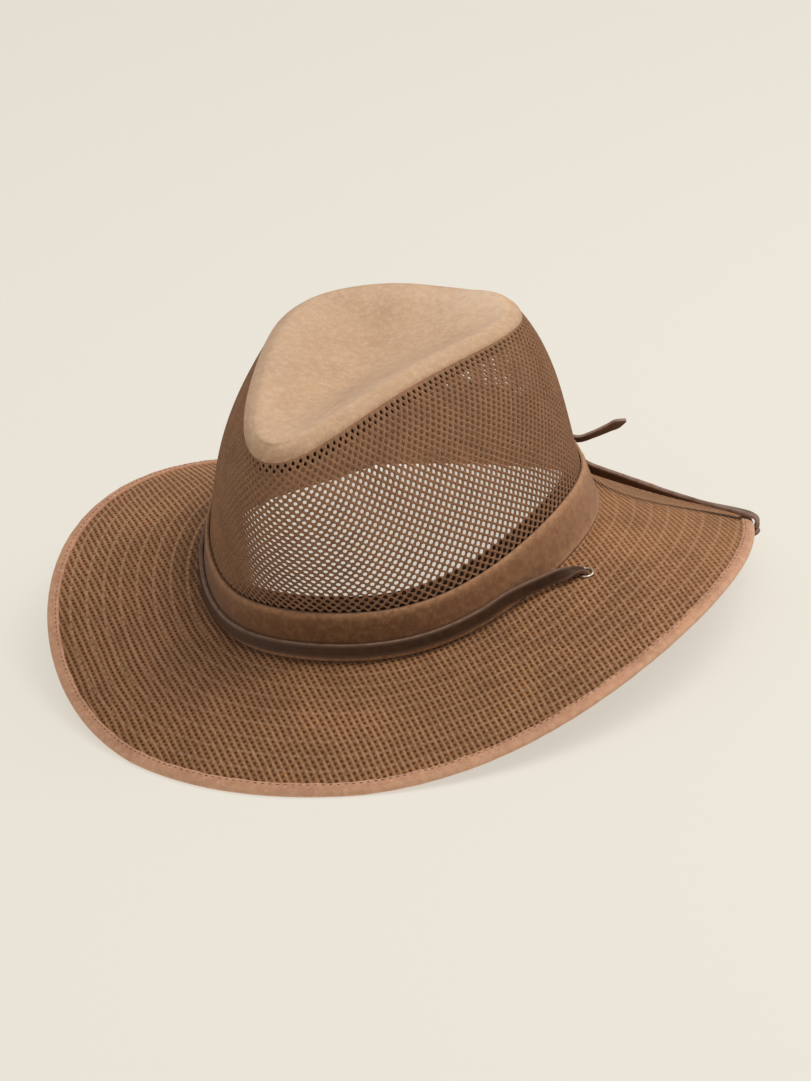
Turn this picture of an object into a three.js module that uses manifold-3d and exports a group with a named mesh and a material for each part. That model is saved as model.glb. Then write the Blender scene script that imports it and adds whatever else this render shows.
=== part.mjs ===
// Sun hat with a net-sided teardrop crown, a suede tip and band, a bound ribbed brim and a leather chin lace.
// Millimetres, +Z up. The wearer looks along -Y, the wearer's left is +X. The hat rests on its brim at Z = 0.
import * as THREE from 'three';
import { mergeVertices } from 'three/addons/utils/BufferGeometryUtils.js';
import Module from 'manifold-3d';

// Sizes, in millimetres
const HEAD = { halfLength: 103.5, halfWidth: 86.5, egg: -0.049, third: -0.016, fourth: 0.015 };
const FOOT = { sideRise: 5.9, third: -0.65, fourth: 3.1 };            // how the crown's foot line waves
const BAND = { height: 21.1, lean: 4.6, thick: 1.5 };
const NET = { inset: 1.8, thick: 1.2, bulge: 5.0, frontBulge: 0.6, full: 0.45 };
const SWEAT = { inset: 3.3, thick: 1.2, above: 6.5, below: 2.4 };
const TAPE = { deep: 5.0, thick: 1.0, gap: 0.35 };
const SEAM = { halfWidth: 54.0, front: -0.49, second: 0.135, centre: -11.6, halfLength: 82.8, bend: -2.3,
  height: 97.5, h1: 2.4, h2: -3.0, h3: -1.6 };
const BRIM = { thick: 1.6, inner: 2.4, edgeIn: 1.6, bow: 0.4, backBow: -0.55, bowFrom: 98, bowTo: 142 };
const EDGE = { mean: -20.2, c1: 13.2, c2: -13.6, s1: -2.4, s2: 1.3, width: 70.0, w1: 4.2, w2: -0.6, corner: 3.2, at: 119, spread: 15 };
const BINDING = { wide: 6.2, channel: 1.15, half: 2.0 };
const EYELET = { angle: 96, out: 12.3, hole: 3.2, inner: 2.4, outer: 3.9, barrel: 2.9 };
const LACE = { middle: -16, leave: 78, wide: 6.0, thick: 2.0, gap: 0.55 };
const REST = { pitch: 4.6, sinkFrom: 2.4, flat: 0.8 };                // nose-down lean and the pressed foot
const AROUND = 60;

// The tip's rim stands higher at a knob behind the wearer's left temple and dips beside it
const RIM = { knob: 0.5, knobAt: 150, knobWide: 15, dip: 0.5, dipAt: 173, dipWide: 12 };
// Tip profile: distance in from the seam and height above it, at the side, the front and the back
const TIP_ROWS = [
  { inSide: 0.0, upSide: 0.3, inFront: 0.0, upFront: 0.3, inBack: 0.0, upBack: 0.3 },
  { inSide: 1.5, upSide: 1.7, inFront: 0.6, upFront: 3.0, inBack: 1.2, upBack: 1.8 },
  { inSide: 4.2, upSide: 3.0, inFront: 2.4, upFront: 5.8, inBack: 3.6, upBack: 3.4 },
  { inSide: 8.0, upSide: 3.4, inFront: 6.0, upFront: 7.2, inBack: 7.5, upBack: 4.0 },
];
const BOWL = { depth: 11.0, thick: 1.5 };

const rad = (deg) => (deg * Math.PI) / 180;
const v3 = (x, y, z) => new THREE.Vector3(x, y, z);

// Crown foot: the outer line of the band's lower edge; angle 0 is the front, 90 the wearer's left
function foot(a, out = 0) {
  const k = 1 + HEAD.third * Math.cos(3 * a) + HEAD.fourth * Math.cos(4 * a);
  return v3((HEAD.halfWidth + out) * Math.sin(a) * (1 + HEAD.egg * Math.cos(a)) * k,
    -(HEAD.halfLength + out) * Math.cos(a) * k,
    FOOT.sideRise * 0.5 * (1 - Math.cos(2 * a)) + FOOT.third * Math.cos(3 * a) + FOOT.fourth * Math.cos(4 * a));
}

// Tip seam: where the net wall ends
function seam(a) {
  return v3(SEAM.halfWidth * Math.sin(a) * (1 + SEAM.front * Math.cos(a) + SEAM.second * Math.cos(2 * a)),
    SEAM.centre - SEAM.halfLength * Math.cos(a) + SEAM.bend * Math.cos(2 * a),
    SEAM.height + SEAM.h1 * Math.cos(a) + SEAM.h2 * Math.cos(2 * a) + SEAM.h3 * Math.cos(3 * a));
}

function flatNormal(curve, a) {
  const d = curve(a + 0.01).sub(curve(a - 0.01));
  return v3(d.y, -d.x, 0).normalize();
}

// Crown wall: s runs 0 to 1 up the band and 1 to 2 from the band to the seam
function wallPoint(a, s) {
  if (s <= 1) {
    const p = foot(a, -BAND.lean * s);
    p.z += BAND.height * s;
    return p;
  }
  const u = s - 1;
  const top = foot(a, -BAND.lean);
  top.z += BAND.height;
  const p = top.multiplyScalar(1 - u).addScaledVector(seam(a), u);
  const n = flatNormal((t) => foot(t), a);
  const fullness = 4 * u * (1 - u) * (1 + NET.full * (2 * u - 1));
  return p.addScaledVector(n, fullness * (NET.bulge + NET.frontBulge * Math.cos(a)));
}

function wallNormal(a, s) {
  const e = 0.01;
  const du = wallPoint(a + e, s).sub(wallPoint(a - e, s));
  const dv = wallPoint(a, s + e).sub(wallPoint(a, s - e));
  return du.cross(dv).normalize();
}

function wall(a, s, inset) {
  return wallPoint(a, s).addScaledVector(wallNormal(a, s), -inset);
}

// The wall inset of the net: under the band it is behind it, at the seam it is the seam line itself
const netInset = (s) => (s <= 1 ? NET.inset : NET.inset * (2 - s));

// Brim: f runs 0 at the crown's foot to 1 at the edge
function edgeDrop(a) {
  const off = (Math.atan2(Math.sin(a - rad(EDGE.at)), Math.cos(a - rad(EDGE.at))) / rad(EDGE.spread)) ** 2;
  return EDGE.mean + EDGE.c1 * Math.cos(a) + EDGE.c2 * Math.cos(2 * a) + EDGE.s1 * Math.sin(a) + EDGE.s2 * Math.sin(2 * a)
    + EDGE.corner * Math.exp(-off);
}

// How the fall is shared along the brim: it starts gently at the front and sides and steeply behind
function brimBow(a) {
  const turn = Math.abs(Math.atan2(Math.sin(a), Math.cos(a)));
  const k = Math.min(1, Math.max(0, (turn - rad(BRIM.bowFrom)) / rad(BRIM.bowTo - BRIM.bowFrom)));
  return BRIM.bow + (BRIM.backBow - BRIM.bow) * k * k * (3 - 2 * k);
}

function brimPoint(a, f, lift = 0) {
  const drop = edgeDrop(a) + lift;
  const slant = EDGE.width + EDGE.w1 * Math.cos(a) + EDGE.w2 * Math.cos(2 * a);
  const reach = Math.sqrt(slant * slant - edgeDrop(a) * edgeDrop(a));
  const p = foot(a).addScaledVector(flatNormal((t) => foot(t), a), f * reach);
  const out = Math.max(0, f);
  const bow = brimBow(a);
  p.z += drop * ((1 - bow) * out + bow * out * out);
  return p;
}

function brimNormal(a, f, lift) {
  const e = 0.01;
  const du = brimPoint(a + e, f, lift(a + e)).sub(brimPoint(a - e, f, lift(a - e)));
  const dv = brimPoint(a, f + e, lift(a)).sub(brimPoint(a, f - e, lift(a)));
  return dv.cross(du).normalize();
}

function brimSurface(a, f, up, lift = liftAt) {
  const n = brimNormal(a, f, lift);
  if (n.z < 0) n.negate();
  return brimPoint(a, f, lift(a)).addScaledVector(n, up);
}

// Resting: the hat leans forward on its brim, and the brim's cloth is pressed flat where it meets the surface
const cosP = Math.cos(rad(REST.pitch));
const sinP = Math.sin(rad(REST.pitch));
const leanBack = (p) => v3(p.x, p.y * cosP - p.z * sinP, p.y * sinP + p.z * cosP);
const lowest = (a) => {
  let low = Infinity;
  for (const [inward, up] of bindingSection()) low = Math.min(low, leanBack(bindingPoint(a, inward, up, () => 0)).z);
  return low;
};

function bindingSection() {
  const w = BINDING.wide, c = BINDING.channel, h = BINDING.half;
  return [[w, c], [w, h - 0.1], [3.6, h], [1.2, h - 0.1], [0.3, 1.2], [0, 0], [0.3, -1.2], [1.2, -h + 0.1],
    [3.6, -h], [w, -h + 0.1], [w, -c], [BRIM.edgeIn - 0.35, -c], [BRIM.edgeIn - 0.35, c]];
}

function bindingPoint(a, inward, up, lift) {
  const slant = EDGE.width + EDGE.w1 * Math.cos(a) + EDGE.w2 * Math.cos(2 * a);
  return brimSurface(a, 1 - inward / slant, up - BRIM.thick / 2, lift);
}

const angles = Array.from({ length: AROUND }, (_, i) => (2 * Math.PI * i) / AROUND);
const lows = angles.map(lowest);
const floorLevel = Math.min(...lows) + REST.sinkFrom;
function liftAt(a) {
  const t = (((a / (2 * Math.PI)) % 1) + 1) % 1 * AROUND;
  const i = Math.floor(t) % AROUND, k = t - Math.floor(t);
  const low = lows[i] * (1 - k) + lows[(i + 1) % AROUND] * k;
  return Math.max(0, floorLevel - REST.flat - low) / cosP;
}

// Places a point of the hat's own frame in the resting frame, with nothing under the surface
const SHIFT = v3(0.257, 8.652, 0);
function place(p) {
  const q = leanBack(p);
  q.z = Math.max(0, q.z - floorLevel);
  return q.add(SHIFT);
}

// Meshes
function closedMesh(name, points, faces, material) {
  const g = new THREE.BufferGeometry();
  g.setAttribute('position', new THREE.Float32BufferAttribute(points.flatMap((p) => [p.x, p.y, p.z]), 3));
  let volume = 0;
  for (const [i, j, k] of faces) volume += points[i].dot(v3(0, 0, 0).crossVectors(points[j], points[k]));
  g.setIndex(faces.flatMap(([i, j, k]) => (volume > 0 ? [i, j, k] : [i, k, j])));
  g.computeVertexNormals();
  const mesh = new THREE.Mesh(g, material);
  mesh.name = name;
  return mesh;
}

// Rings of points round the hat that close on themselves across the section, or end in two middle points
function ringMesh(name, rings, material, middles = null) {
  const n = rings[0].length, points = rings.flat(), faces = [];
  const last = middles ? rings.length - 1 : rings.length;
  for (let r = 0; r < last; r += 1) {
    const s = (r + 1) % rings.length;
    for (let i = 0; i < n; i += 1) {
      const j = (i + 1) % n;
      const a = r * n + i, b = r * n + j, c = s * n + j, d = s * n + i;
      if (points[a].distanceToSquared(points[c]) < points[b].distanceToSquared(points[d])) {
        faces.push([a, b, c], [a, c, d]);
      } else {
        faces.push([a, b, d], [b, c, d]);
      }
    }
  }
  if (middles) {
    points.push(middles[0], middles[1]);
    for (let i = 0; i < n; i += 1) {
      const j = (i + 1) % n, end = (rings.length - 1) * n;
      faces.push([points.length - 2, j, i], [points.length - 1, end + i, end + j]);
    }
  }
  return closedMesh(name, points, faces, material);
}

const suedeTan = new THREE.MeshStandardMaterial({ color: 0xcba885, roughness: 0.95, metalness: 0 });
const suedeBrown = new THREE.MeshStandardMaterial({ color: 0x7a5033, roughness: 0.9, metalness: 0 });
const netBrown = new THREE.MeshStandardMaterial({ color: 0x7c5a42, roughness: 0.9, metalness: 0 });
const tapeDark = new THREE.MeshStandardMaterial({ color: 0x3a2416, roughness: 0.95, metalness: 0 });
const sweatBrown = new THREE.MeshStandardMaterial({ color: 0x4a3020, roughness: 0.9, metalness: 0 });
const brimBrown = new THREE.MeshStandardMaterial({ color: 0x805b40, roughness: 0.95, metalness: 0 });
const bindingTan = new THREE.MeshStandardMaterial({ color: 0xb08565, roughness: 0.95, metalness: 0 });
const laceBrown = new THREE.MeshStandardMaterial({ color: 0x4f3529, roughness: 0.55, metalness: 0 });
const eyeletMetal = new THREE.MeshStandardMaterial({ color: 0xa89a88, roughness: 0.4, metalness: 1 });

const ring = (fn) => angles.map((a) => place(fn(a)));

// Crown net
const netTop = 1.995;
const netSteps = [0.05, 1.0, 1.14, 1.3, 1.46, 1.64, 1.82, netTop];
const crownNet = ringMesh('crown_net', [
  ...netSteps.map((s) => ring((a) => wall(a, s, netInset(s)))),
  ...netSteps.slice().reverse().map((s) => ring((a) => wall(a, s, netInset(s) + NET.thick))),
], netBrown);

// Hat band
const hatBand = ringMesh('hat_band', [
  [0.03, 0], [0.12, -0.15], [0.55, -0.25], [0.93, -0.1], [1.0, 0.2], [1.0, BAND.thick], [0.5, BAND.thick], [0.03, BAND.thick],
].map(([s, inset]) => ring((a) => wall(a, s, inset))), suedeBrown);

// Sweatband, inside the net; its height above the band follows the wall
const sweatTop = (a) => {
  const rise = wallPoint(a, 2).distanceTo(wallPoint(a, 1));
  return 1 + SWEAT.above / rise;
};
const sweatRow = (k, inset) => ring((a) => {
  const s = k <= 1 ? -SWEAT.below / BAND.height + k * (1 + SWEAT.below / BAND.height) : sweatTop(a);
  return wall(a, s, inset + (s > 1 ? netInset(s) - NET.inset : 0));
});
const sweatband = ringMesh('sweatband', [
  sweatRow(0, SWEAT.inset), sweatRow(0.5, SWEAT.inset), sweatRow(1, SWEAT.inset), sweatRow(2, SWEAT.inset),
  sweatRow(2, SWEAT.inset + SWEAT.thick), sweatRow(1, SWEAT.inset + SWEAT.thick + 0.3),
  sweatRow(0.5, SWEAT.inset + SWEAT.thick + 0.3), sweatRow(0, SWEAT.inset + SWEAT.thick),
], sweatBrown);

// Seam tape, behind the top of the net
const tapeRow = (down, inset) => ring((a) => {
  const rise = wallPoint(a, 2).distanceTo(wallPoint(a, 1));
  const s = netTop - down / rise;
  return wall(a, s, netInset(s) + NET.thick + inset);
});
const seamTape = ringMesh('crown_seam_tape', [
  tapeRow(0, TAPE.gap), tapeRow(TAPE.deep, TAPE.gap), tapeRow(TAPE.deep, TAPE.gap + TAPE.thick), tapeRow(0, TAPE.gap + TAPE.thick),
], tapeDark);

// Crown tip: rows in from the seam, blended between side, front and back, then a bowl that closes on a middle line
const frontness = (a) => Math.max(0, Math.cos(a)) ** 6;
const backness = (a) => Math.max(0, -Math.cos(a)) ** 2;
function rimHeight(a) {
  const deg = (((a * 180) / Math.PI) % 360 + 360) % 360;
  return 1 + RIM.knob * Math.exp(-(((deg - RIM.knobAt) / RIM.knobWide) ** 2)) - RIM.dip * Math.exp(-(((deg - RIM.dipAt) / RIM.dipWide) ** 2));
}

function tipRow(a, row, under) {
  const f = frontness(a), b = backness(a), side = 1 - f - b;
  const inward = row.inSide * side + row.inFront * f + row.inBack * b + under * 0.8;
  const up = (row.upSide * side + row.upFront * f + row.upBack * b) * rimHeight(a) - under * 0.9;
  const p = seam(a).addScaledVector(flatNormal(seam, a), -inward);
  p.z += row === TIP_ROWS[0] ? 0.3 : up;
  return p;
}
function bowlRow(a, k, under) {
  const rim = tipRow(a, TIP_ROWS[TIP_ROWS.length - 1], under);
  const mid = bowlMiddle(under);
  const p = rim.clone().lerp(mid, k);
  p.z = rim.z + (mid.z - rim.z) * (1 - (1 - k) ** 2);
  return p;
}
function bowlMiddle(under) {
  const rim = TIP_ROWS[TIP_ROWS.length - 1];
  return v3(0, 10, SEAM.height + rim.upSide - BOWL.depth - under);
}
const bowlSteps = [0.22, 0.45, 0.7];
const tipTop = [...TIP_ROWS.map((row) => ring((a) => tipRow(a, row, 0))), ...bowlSteps.map((k) => ring((a) => bowlRow(a, k, 0)))];
const tipUnder = [...TIP_ROWS.map((row) => ring((a) => tipRow(a, row, BOWL.thick))), ...bowlSteps.map((k) => ring((a) => bowlRow(a, k, BOWL.thick)))];
const crownTip = ringMesh('crown_tip', [...tipTop.slice().reverse(), ...tipUnder], suedeTan,
  [place(bowlMiddle(0)), place(bowlMiddle(BOWL.thick))]);

// Brim with a hole for each eyelet
const brimIn = (a) => -BRIM.inner / (EDGE.width + EDGE.w1 * Math.cos(a) + EDGE.w2 * Math.cos(2 * a));
const brimRow = (f, up) => ring((a) => {
  const slant = EDGE.width + EDGE.w1 * Math.cos(a) + EDGE.w2 * Math.cos(2 * a);
  const t = f < 0 ? brimIn(a) : f * (1 - BRIM.edgeIn / slant);
  return brimSurface(a, t, up);
});
const brimSteps = [-1, 0.1, 0.28, 0.46, 0.64, 0.82, 1];
const halfBrim = BRIM.thick / 2;
const brimWhole = ringMesh('brim', [
  ...brimSteps.map((f) => brimRow(f, 0)), ...brimSteps.slice().reverse().map((f) => brimRow(f, -BRIM.thick)),
], brimBrown);

const wasm = await Module();
wasm.setup();
function toSolid(geometry) {
  const g = geometry.clone();
  g.deleteAttribute('normal');
  g.deleteAttribute('uv');
  const m = mergeVertices(g, 1e-4);
  return new wasm.Manifold(new wasm.Mesh({ numProp: 3, vertProperties: new Float32Array(m.attributes.position.array),
    triVerts: new Uint32Array(m.index.array) }));
}
function fromSolid(name, solid, material) {
  const out = solid.getMesh();
  const g = new THREE.BufferGeometry();
  g.setAttribute('position', new THREE.BufferAttribute(new Float32Array(out.vertProperties), 3));
  g.setIndex(new THREE.BufferAttribute(new Uint32Array(out.triVerts), 1));
  g.computeVertexNormals();
  const mesh = new THREE.Mesh(g, material);
  mesh.name = name;
  return mesh;
}

// The lace, its eyelets and its tie mirror each other about a line set a little round towards the wearer's right
const laceAngle = (side, half) => LACE.middle + side * half;
function eyeletFrame(side) {
  const a = rad(laceAngle(side, EYELET.angle));
  const f = EYELET.out / EDGE.width;
  const top = place(brimSurface(a, f, 0));
  const e = 0.02;
  const du = place(brimSurface(a + e, f, 0)).sub(place(brimSurface(a - e, f, 0)));
  const dv = place(brimSurface(a, f + e, 0)).sub(place(brimSurface(a, f - e, 0)));
  const n = du.cross(dv).normalize();
  if (n.z < 0) n.negate();
  return { centre: top.addScaledVector(n, -halfBrim), normal: n };
}
function turned(geometry, side) {
  const { centre, normal } = eyeletFrame(side);
  geometry.rotateX(Math.PI / 2);
  geometry.applyQuaternion(new THREE.Quaternion().setFromUnitVectors(v3(0, 0, 1), normal));
  geometry.translate(centre.x, centre.y, centre.z);
  return geometry;
}
let brimSolid = toSolid(brimWhole.geometry);
for (const side of [1, -1]) {
  const cutter = turned(new THREE.CylinderGeometry(EYELET.hole, EYELET.hole, 8, 16), side);
  brimSolid = brimSolid.subtract(toSolid(cutter));
}
const brim = fromSolid('brim', brimSolid, brimBrown);

const eyeletSection = [[EYELET.inner, 1.3], [2.7, 1.65], [EYELET.outer, 1.5], [EYELET.outer, 1.15], [EYELET.barrel, 1.15],
  [EYELET.barrel, -1.15], [EYELET.outer, -1.15], [EYELET.outer, -1.5], [2.7, -1.65], [EYELET.inner, -1.3]].reverse();
const eyelets = [['lace_eyelet_left', 1], ['lace_eyelet_right', -1]].map(([name, side]) => {
  const outline = [...eyeletSection, eyeletSection[0]].map(([r, h]) => new THREE.Vector2(r, h));
  const g = turned(new THREE.LatheGeometry(outline, 14), side);
  const solid = toSolid(g);
  return fromSolid(name, solid, eyeletMetal.clone());
});

// Binding round the brim's edge
const brimBinding = ringMesh('brim_binding', bindingSection().map(([inward, up]) => ring((a) => bindingPoint(a, inward, up, liftAt))), bindingTan);

// Chin lace: one strand from tail to tail, as stations with a middle point and the direction of the strap's width
const bandOff = LACE.gap + LACE.thick / 2;
function onBand(deg, height, extra = 0, wide = LACE.wide) {
  const a = rad(deg), s = height / BAND.height;
  return { p: wall(a, s, -bandOff - extra), w: wallPoint(a, s + 0.05).sub(wallPoint(a, s - 0.05)).normalize(), wide };
}
function onBrim(deg, inward, up) {
  const a = rad(deg);
  const slant = EDGE.width + EDGE.w1 * Math.cos(a) + EDGE.w2 * Math.cos(2 * a);
  return brimSurface(a, 1 - inward / slant, up - BRIM.thick / 2);
}
function holeFrame(side) {
  const a = rad(laceAngle(side, EYELET.angle)), f = EYELET.out / EDGE.width;
  const n = brimNormal(a, f, liftAt);
  if (n.z < 0) n.negate();
  return { centre: brimSurface(a, f, -BRIM.thick / 2), normal: n };
}

// Wrap over the brim's edge: distance in from the edge, height over the brim's middle, turn along the edge
const WRAP = { angle: 129, rows: [[8.2, -3.6, -2.2], [4.5, -3.75, -1.4], [1.0, -3.7, -0.7], [-1.3, -2.7, -0.3], [-2.3, -1.1, 0],
  [-2.3, 1.1, 0], [-1.3, 2.9, 0.3], [0.9, 4.3, 0.8], [5.6, 5.6, 1.8]] };
const KNOT = { angle: 164, height: 6.0, out: 2.1, halfTall: 6.3, halfDeep: 2.95, wall: 1.6, long: 6.0 };
// Stations behind the crown: angle, height over the foot line, distance out from the band, width
const BACK_LEFT = [[137, 4.2, 0, 6], [142, 4.6, 0, 6], [147, 5.7, 0.6, 5.2], [152, 7.2, 1.6, 4.4], [157, 8.3, 2.1, 4], [164, 8.3, 2.1, 4],
  [170, 8.3, 2.1, 4], [175, 8.6, 3.6, 4.4], [180, 9.2, 7.5, 5], [185, 8.6, 13, 5], [189, 6.6, 19, 5.4], [192, 4.6, 24, 1.4]];
const BACK_RIGHT = [[191, 4.2, 0, 6], [184, 4.1, 0.5, 5.2],
  [177, 3.8, 1.6, 4.4], [171, 3.7, 2.1, 4], [164, 3.7, 2.1, 4], [158, 3.7, 2.1, 4]];
const TAIL_RIGHT = [[44.0, 99.0, 3.4, 4.0], [51.5, 101.0, 5.4, 4.2], [58.5, 103.4, 8.2, 4.8], [62.5, 104.7, 9.9, 5.4], [66.5, 106.0, 11.4, 1.4]];

function sideStations(side) {
  const out = [];
  const start = onBand(laceAngle(side, LACE.leave), 5.7);
  const { centre, normal } = holeFrame(side);
  const travel = centre.clone().sub(start.p).normalize();
  const across = new THREE.Vector3().crossVectors(normal, travel).normalize();
  const flat = travel.clone().addScaledVector(normal, -travel.dot(normal)).normalize();
  const at = (along, up) => centre.clone().addScaledVector(flat, along).addScaledVector(normal, up);
  out.push({ p: at(-17, 5.3), w: start.w, wide: 6 });
  out.push({ p: at(-10.5, 4.9), w: start.w.clone().lerp(across, 0.35).normalize(), wide: 5.6 });
  out.push({ p: at(-5.4, 4.4), w: start.w.clone().lerp(across, 0.75).normalize(), wide: 4.4 });
  out.push({ p: at(-2.0, 3.4), w: across, wide: 3.6 });
  out.push({ p: at(-0.4, 1.8), w: across, wide: 3.4 }, { p: at(0, 0), w: across, wide: 3.4 });
  const edge = onBrim(laceAngle(side, WRAP.angle), 0, 0).sub(centre);
  const away = edge.addScaledVector(normal, -edge.dot(normal)).normalize();
  const under = (along, up) => centre.clone().addScaledVector(away, along).addScaledVector(normal, up);
  const cross2 = new THREE.Vector3().crossVectors(normal, away).normalize();
  out.push({ p: under(0.3, -1.9), w: cross2, wide: 3.4 }, { p: under(2.0, -3.3), w: cross2, wide: 3.8 });
  for (const k of [0.14, 0.3, 0.46, 0.62, 0.78]) {
    const deg = laceAngle(side, EYELET.angle + (WRAP.angle - 2.6 - EYELET.angle) * k ** 0.8);
    const inward = (EDGE.width - EYELET.out) * (1 - k ** 1.25);
    out.push({ p: onBrim(deg, inward, inward < 16 ? -3.0 : -2.35), w: null, wide: 5.6, n: brimNormal(rad(deg), 0.5, liftAt) });
  }
  const tangent = onBrim(laceAngle(side, WRAP.angle + 1), 0, 0).sub(onBrim(laceAngle(side, WRAP.angle - 1), 0, 0)).normalize();
  for (const [inward, up, turn] of WRAP.rows) out.push({ p: onBrim(laceAngle(side, WRAP.angle + turn), inward, up), w: tangent, wide: 5.6 });
  const rows = side > 0 ? BACK_LEFT : BACK_RIGHT;
  const first = onBand(...rows[0]);
  const last = out[out.length - 1];
  for (const k of [0.25, 0.5, 0.75]) {
    const w = tangent.clone().multiplyScalar(tangent.dot(first.w) < 0 ? -1 : 1).lerp(first.w, k).normalize();
    out.push({ p: last.p.clone().lerp(first.p, k), w, wide: 5.8 });
  }
  for (const [deg, height, extra, wide] of rows) out.push(onBand(deg, height, extra, wide));
  if (side < 0) for (const [x, y, z, wide] of TAIL_RIGHT) out.push({ p: v3(x, y, z), w: out[out.length - 1].w, wide });
  return out;
}

function laceMesh(name, stations, material) {
  const rings = [];
  let before = null;
  stations.forEach((st, i) => {
    const a = stations[Math.max(0, i - 1)].p, b = stations[Math.min(stations.length - 1, i + 1)].p;
    const t = b.clone().sub(a).normalize();
    const w = st.w ? st.w.clone() : new THREE.Vector3().crossVectors(st.n, t);
    w.addScaledVector(t, -w.dot(t)).normalize();
    if (before && w.dot(before) < 0) w.negate();
    before = w;
    const n = new THREE.Vector3().crossVectors(t, w);
    const x = st.wide / 2, y = LACE.thick / 2, c = Math.min(0.6, x * 0.4);
    rings.push([[x, -y + c], [x, y - c], [x - c, y], [-x + c, y], [-x, y - c], [-x, -y + c], [-x + c, -y], [x - c, -y]]
      .map(([p, q]) => place(st.p.clone().addScaledVector(w, p).addScaledVector(n, q))));
  });
  return ringMesh(name, rings, material, [place(stations[0].p), place(stations[stations.length - 1].p)]);
}
const frontArc = Array.from({ length: 21 }, (_, i) => onBand(LACE.middle + LACE.leave * (1 - i / 10), 5.7));
const chinLace = laceMesh('chin_lace', [...sideStations(1).reverse(), ...frontArc, ...sideStations(-1)], laceBrown);

// Tie behind the crown
function knotRing(along, grow, inner) {
  const a = rad(KNOT.angle);
  const base = onBand(KNOT.angle, KNOT.height, KNOT.out);
  const t = wallPoint(a + 0.01, 0.3).sub(wallPoint(a - 0.01, 0.3)).normalize();
  const n = new THREE.Vector3().crossVectors(base.w, t).normalize();
  const tall = (inner ? KNOT.halfTall - KNOT.wall : KNOT.halfTall) + grow, deep = (inner ? KNOT.halfDeep - KNOT.wall : KNOT.halfDeep) + grow;
  return Array.from({ length: 16 }, (_, i) => {
    const b = (2 * Math.PI * (i + 0.5)) / 16;
    const sq = (v) => Math.sign(v) * Math.abs(v) ** 0.45;
    return place(base.p.clone().addScaledVector(base.w, tall * sq(Math.sin(b))).addScaledVector(n, deep * sq(Math.cos(b))).addScaledVector(t, along));
  });
}
const half = KNOT.long / 2;
const laceKnot = ringMesh('lace_knot', [knotRing(-half, -0.4, false), knotRing(-half + 1.2, 0, false), knotRing(half - 1.2, 0, false),
  knotRing(half, -0.4, false), knotRing(half, 0, true), knotRing(-half, 0, true)], laceBrown.clone());

const hat = new THREE.Group();
hat.add(crownTip, seamTape, crownNet, hatBand, sweatband, brim, brimBinding, ...eyelets, chinLace, laceKnot);
export default hat;
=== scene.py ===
# A net-crowned sun hat: suede tip and band, a quilted and bound brim, and a flat leather chin lace.
# Metres, +Z up. The wearer looks along -Y and the wearer's left is +X. The brim rests on Z = 0.
import math

import bpy
import numpy as np
from mathutils import Matrix, Vector


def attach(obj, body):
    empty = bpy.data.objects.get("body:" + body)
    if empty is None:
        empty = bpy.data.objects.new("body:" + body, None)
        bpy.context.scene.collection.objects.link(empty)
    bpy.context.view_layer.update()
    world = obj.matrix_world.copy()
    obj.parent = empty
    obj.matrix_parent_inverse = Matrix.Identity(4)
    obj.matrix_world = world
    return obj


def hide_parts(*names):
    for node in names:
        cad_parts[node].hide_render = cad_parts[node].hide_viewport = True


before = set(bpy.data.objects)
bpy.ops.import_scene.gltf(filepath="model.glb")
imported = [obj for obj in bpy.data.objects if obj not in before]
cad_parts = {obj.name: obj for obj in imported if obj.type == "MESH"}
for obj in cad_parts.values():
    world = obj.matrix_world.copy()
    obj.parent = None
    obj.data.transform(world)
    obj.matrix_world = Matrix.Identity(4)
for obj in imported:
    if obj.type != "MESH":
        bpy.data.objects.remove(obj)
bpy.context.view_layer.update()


# Camera
# The hat is seen from in front and from the wearer's left, a little from above, and tipped in the picture.
VIEW_AZIMUTH, VIEW_HEIGHT, VIEW_TIP = math.radians(28.84), math.radians(25.06), math.radians(7.25)
VIEW_DISTANCE, VIEW_CENTRE = 1.5007, Vector((0.00101, 0.00959, 0.03260))
VIEW_LENS, VIEW_SENSOR = 149.0, 36.0
VIEW_NEAR, VIEW_FAR = 0.05, 20.0


def way_to(azimuth, height):
    """The way from the hat to a place. Azimuth 0 is the front and 90 degrees the wearer's left."""
    return Vector((math.sin(azimuth) * math.cos(height), -math.cos(azimuth) * math.cos(height),
                   math.sin(height)))


camera_data = bpy.data.cameras.new("camera")
camera_data.sensor_fit = "HORIZONTAL"
camera_data.sensor_width = VIEW_SENSOR
camera_data.lens = VIEW_LENS
camera_data.clip_start, camera_data.clip_end = VIEW_NEAR, VIEW_FAR
camera = bpy.data.objects.new("camera", camera_data)
back = way_to(VIEW_AZIMUTH, VIEW_HEIGHT)
level = Vector((math.cos(VIEW_AZIMUTH), math.sin(VIEW_AZIMUTH), 0.0))
upright = back.cross(level)
right = level * math.cos(VIEW_TIP) - upright * math.sin(VIEW_TIP)
above = level * math.sin(VIEW_TIP) + upright * math.cos(VIEW_TIP)
turn = Matrix((right, above, back)).transposed().to_4x4()
camera.matrix_world = Matrix.Translation(VIEW_CENTRE + back * VIEW_DISTANCE) @ turn
bpy.context.scene.collection.objects.link(camera)
bpy.context.scene.camera = camera
bpy.context.scene.view_settings.view_transform = "Standard"


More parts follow.
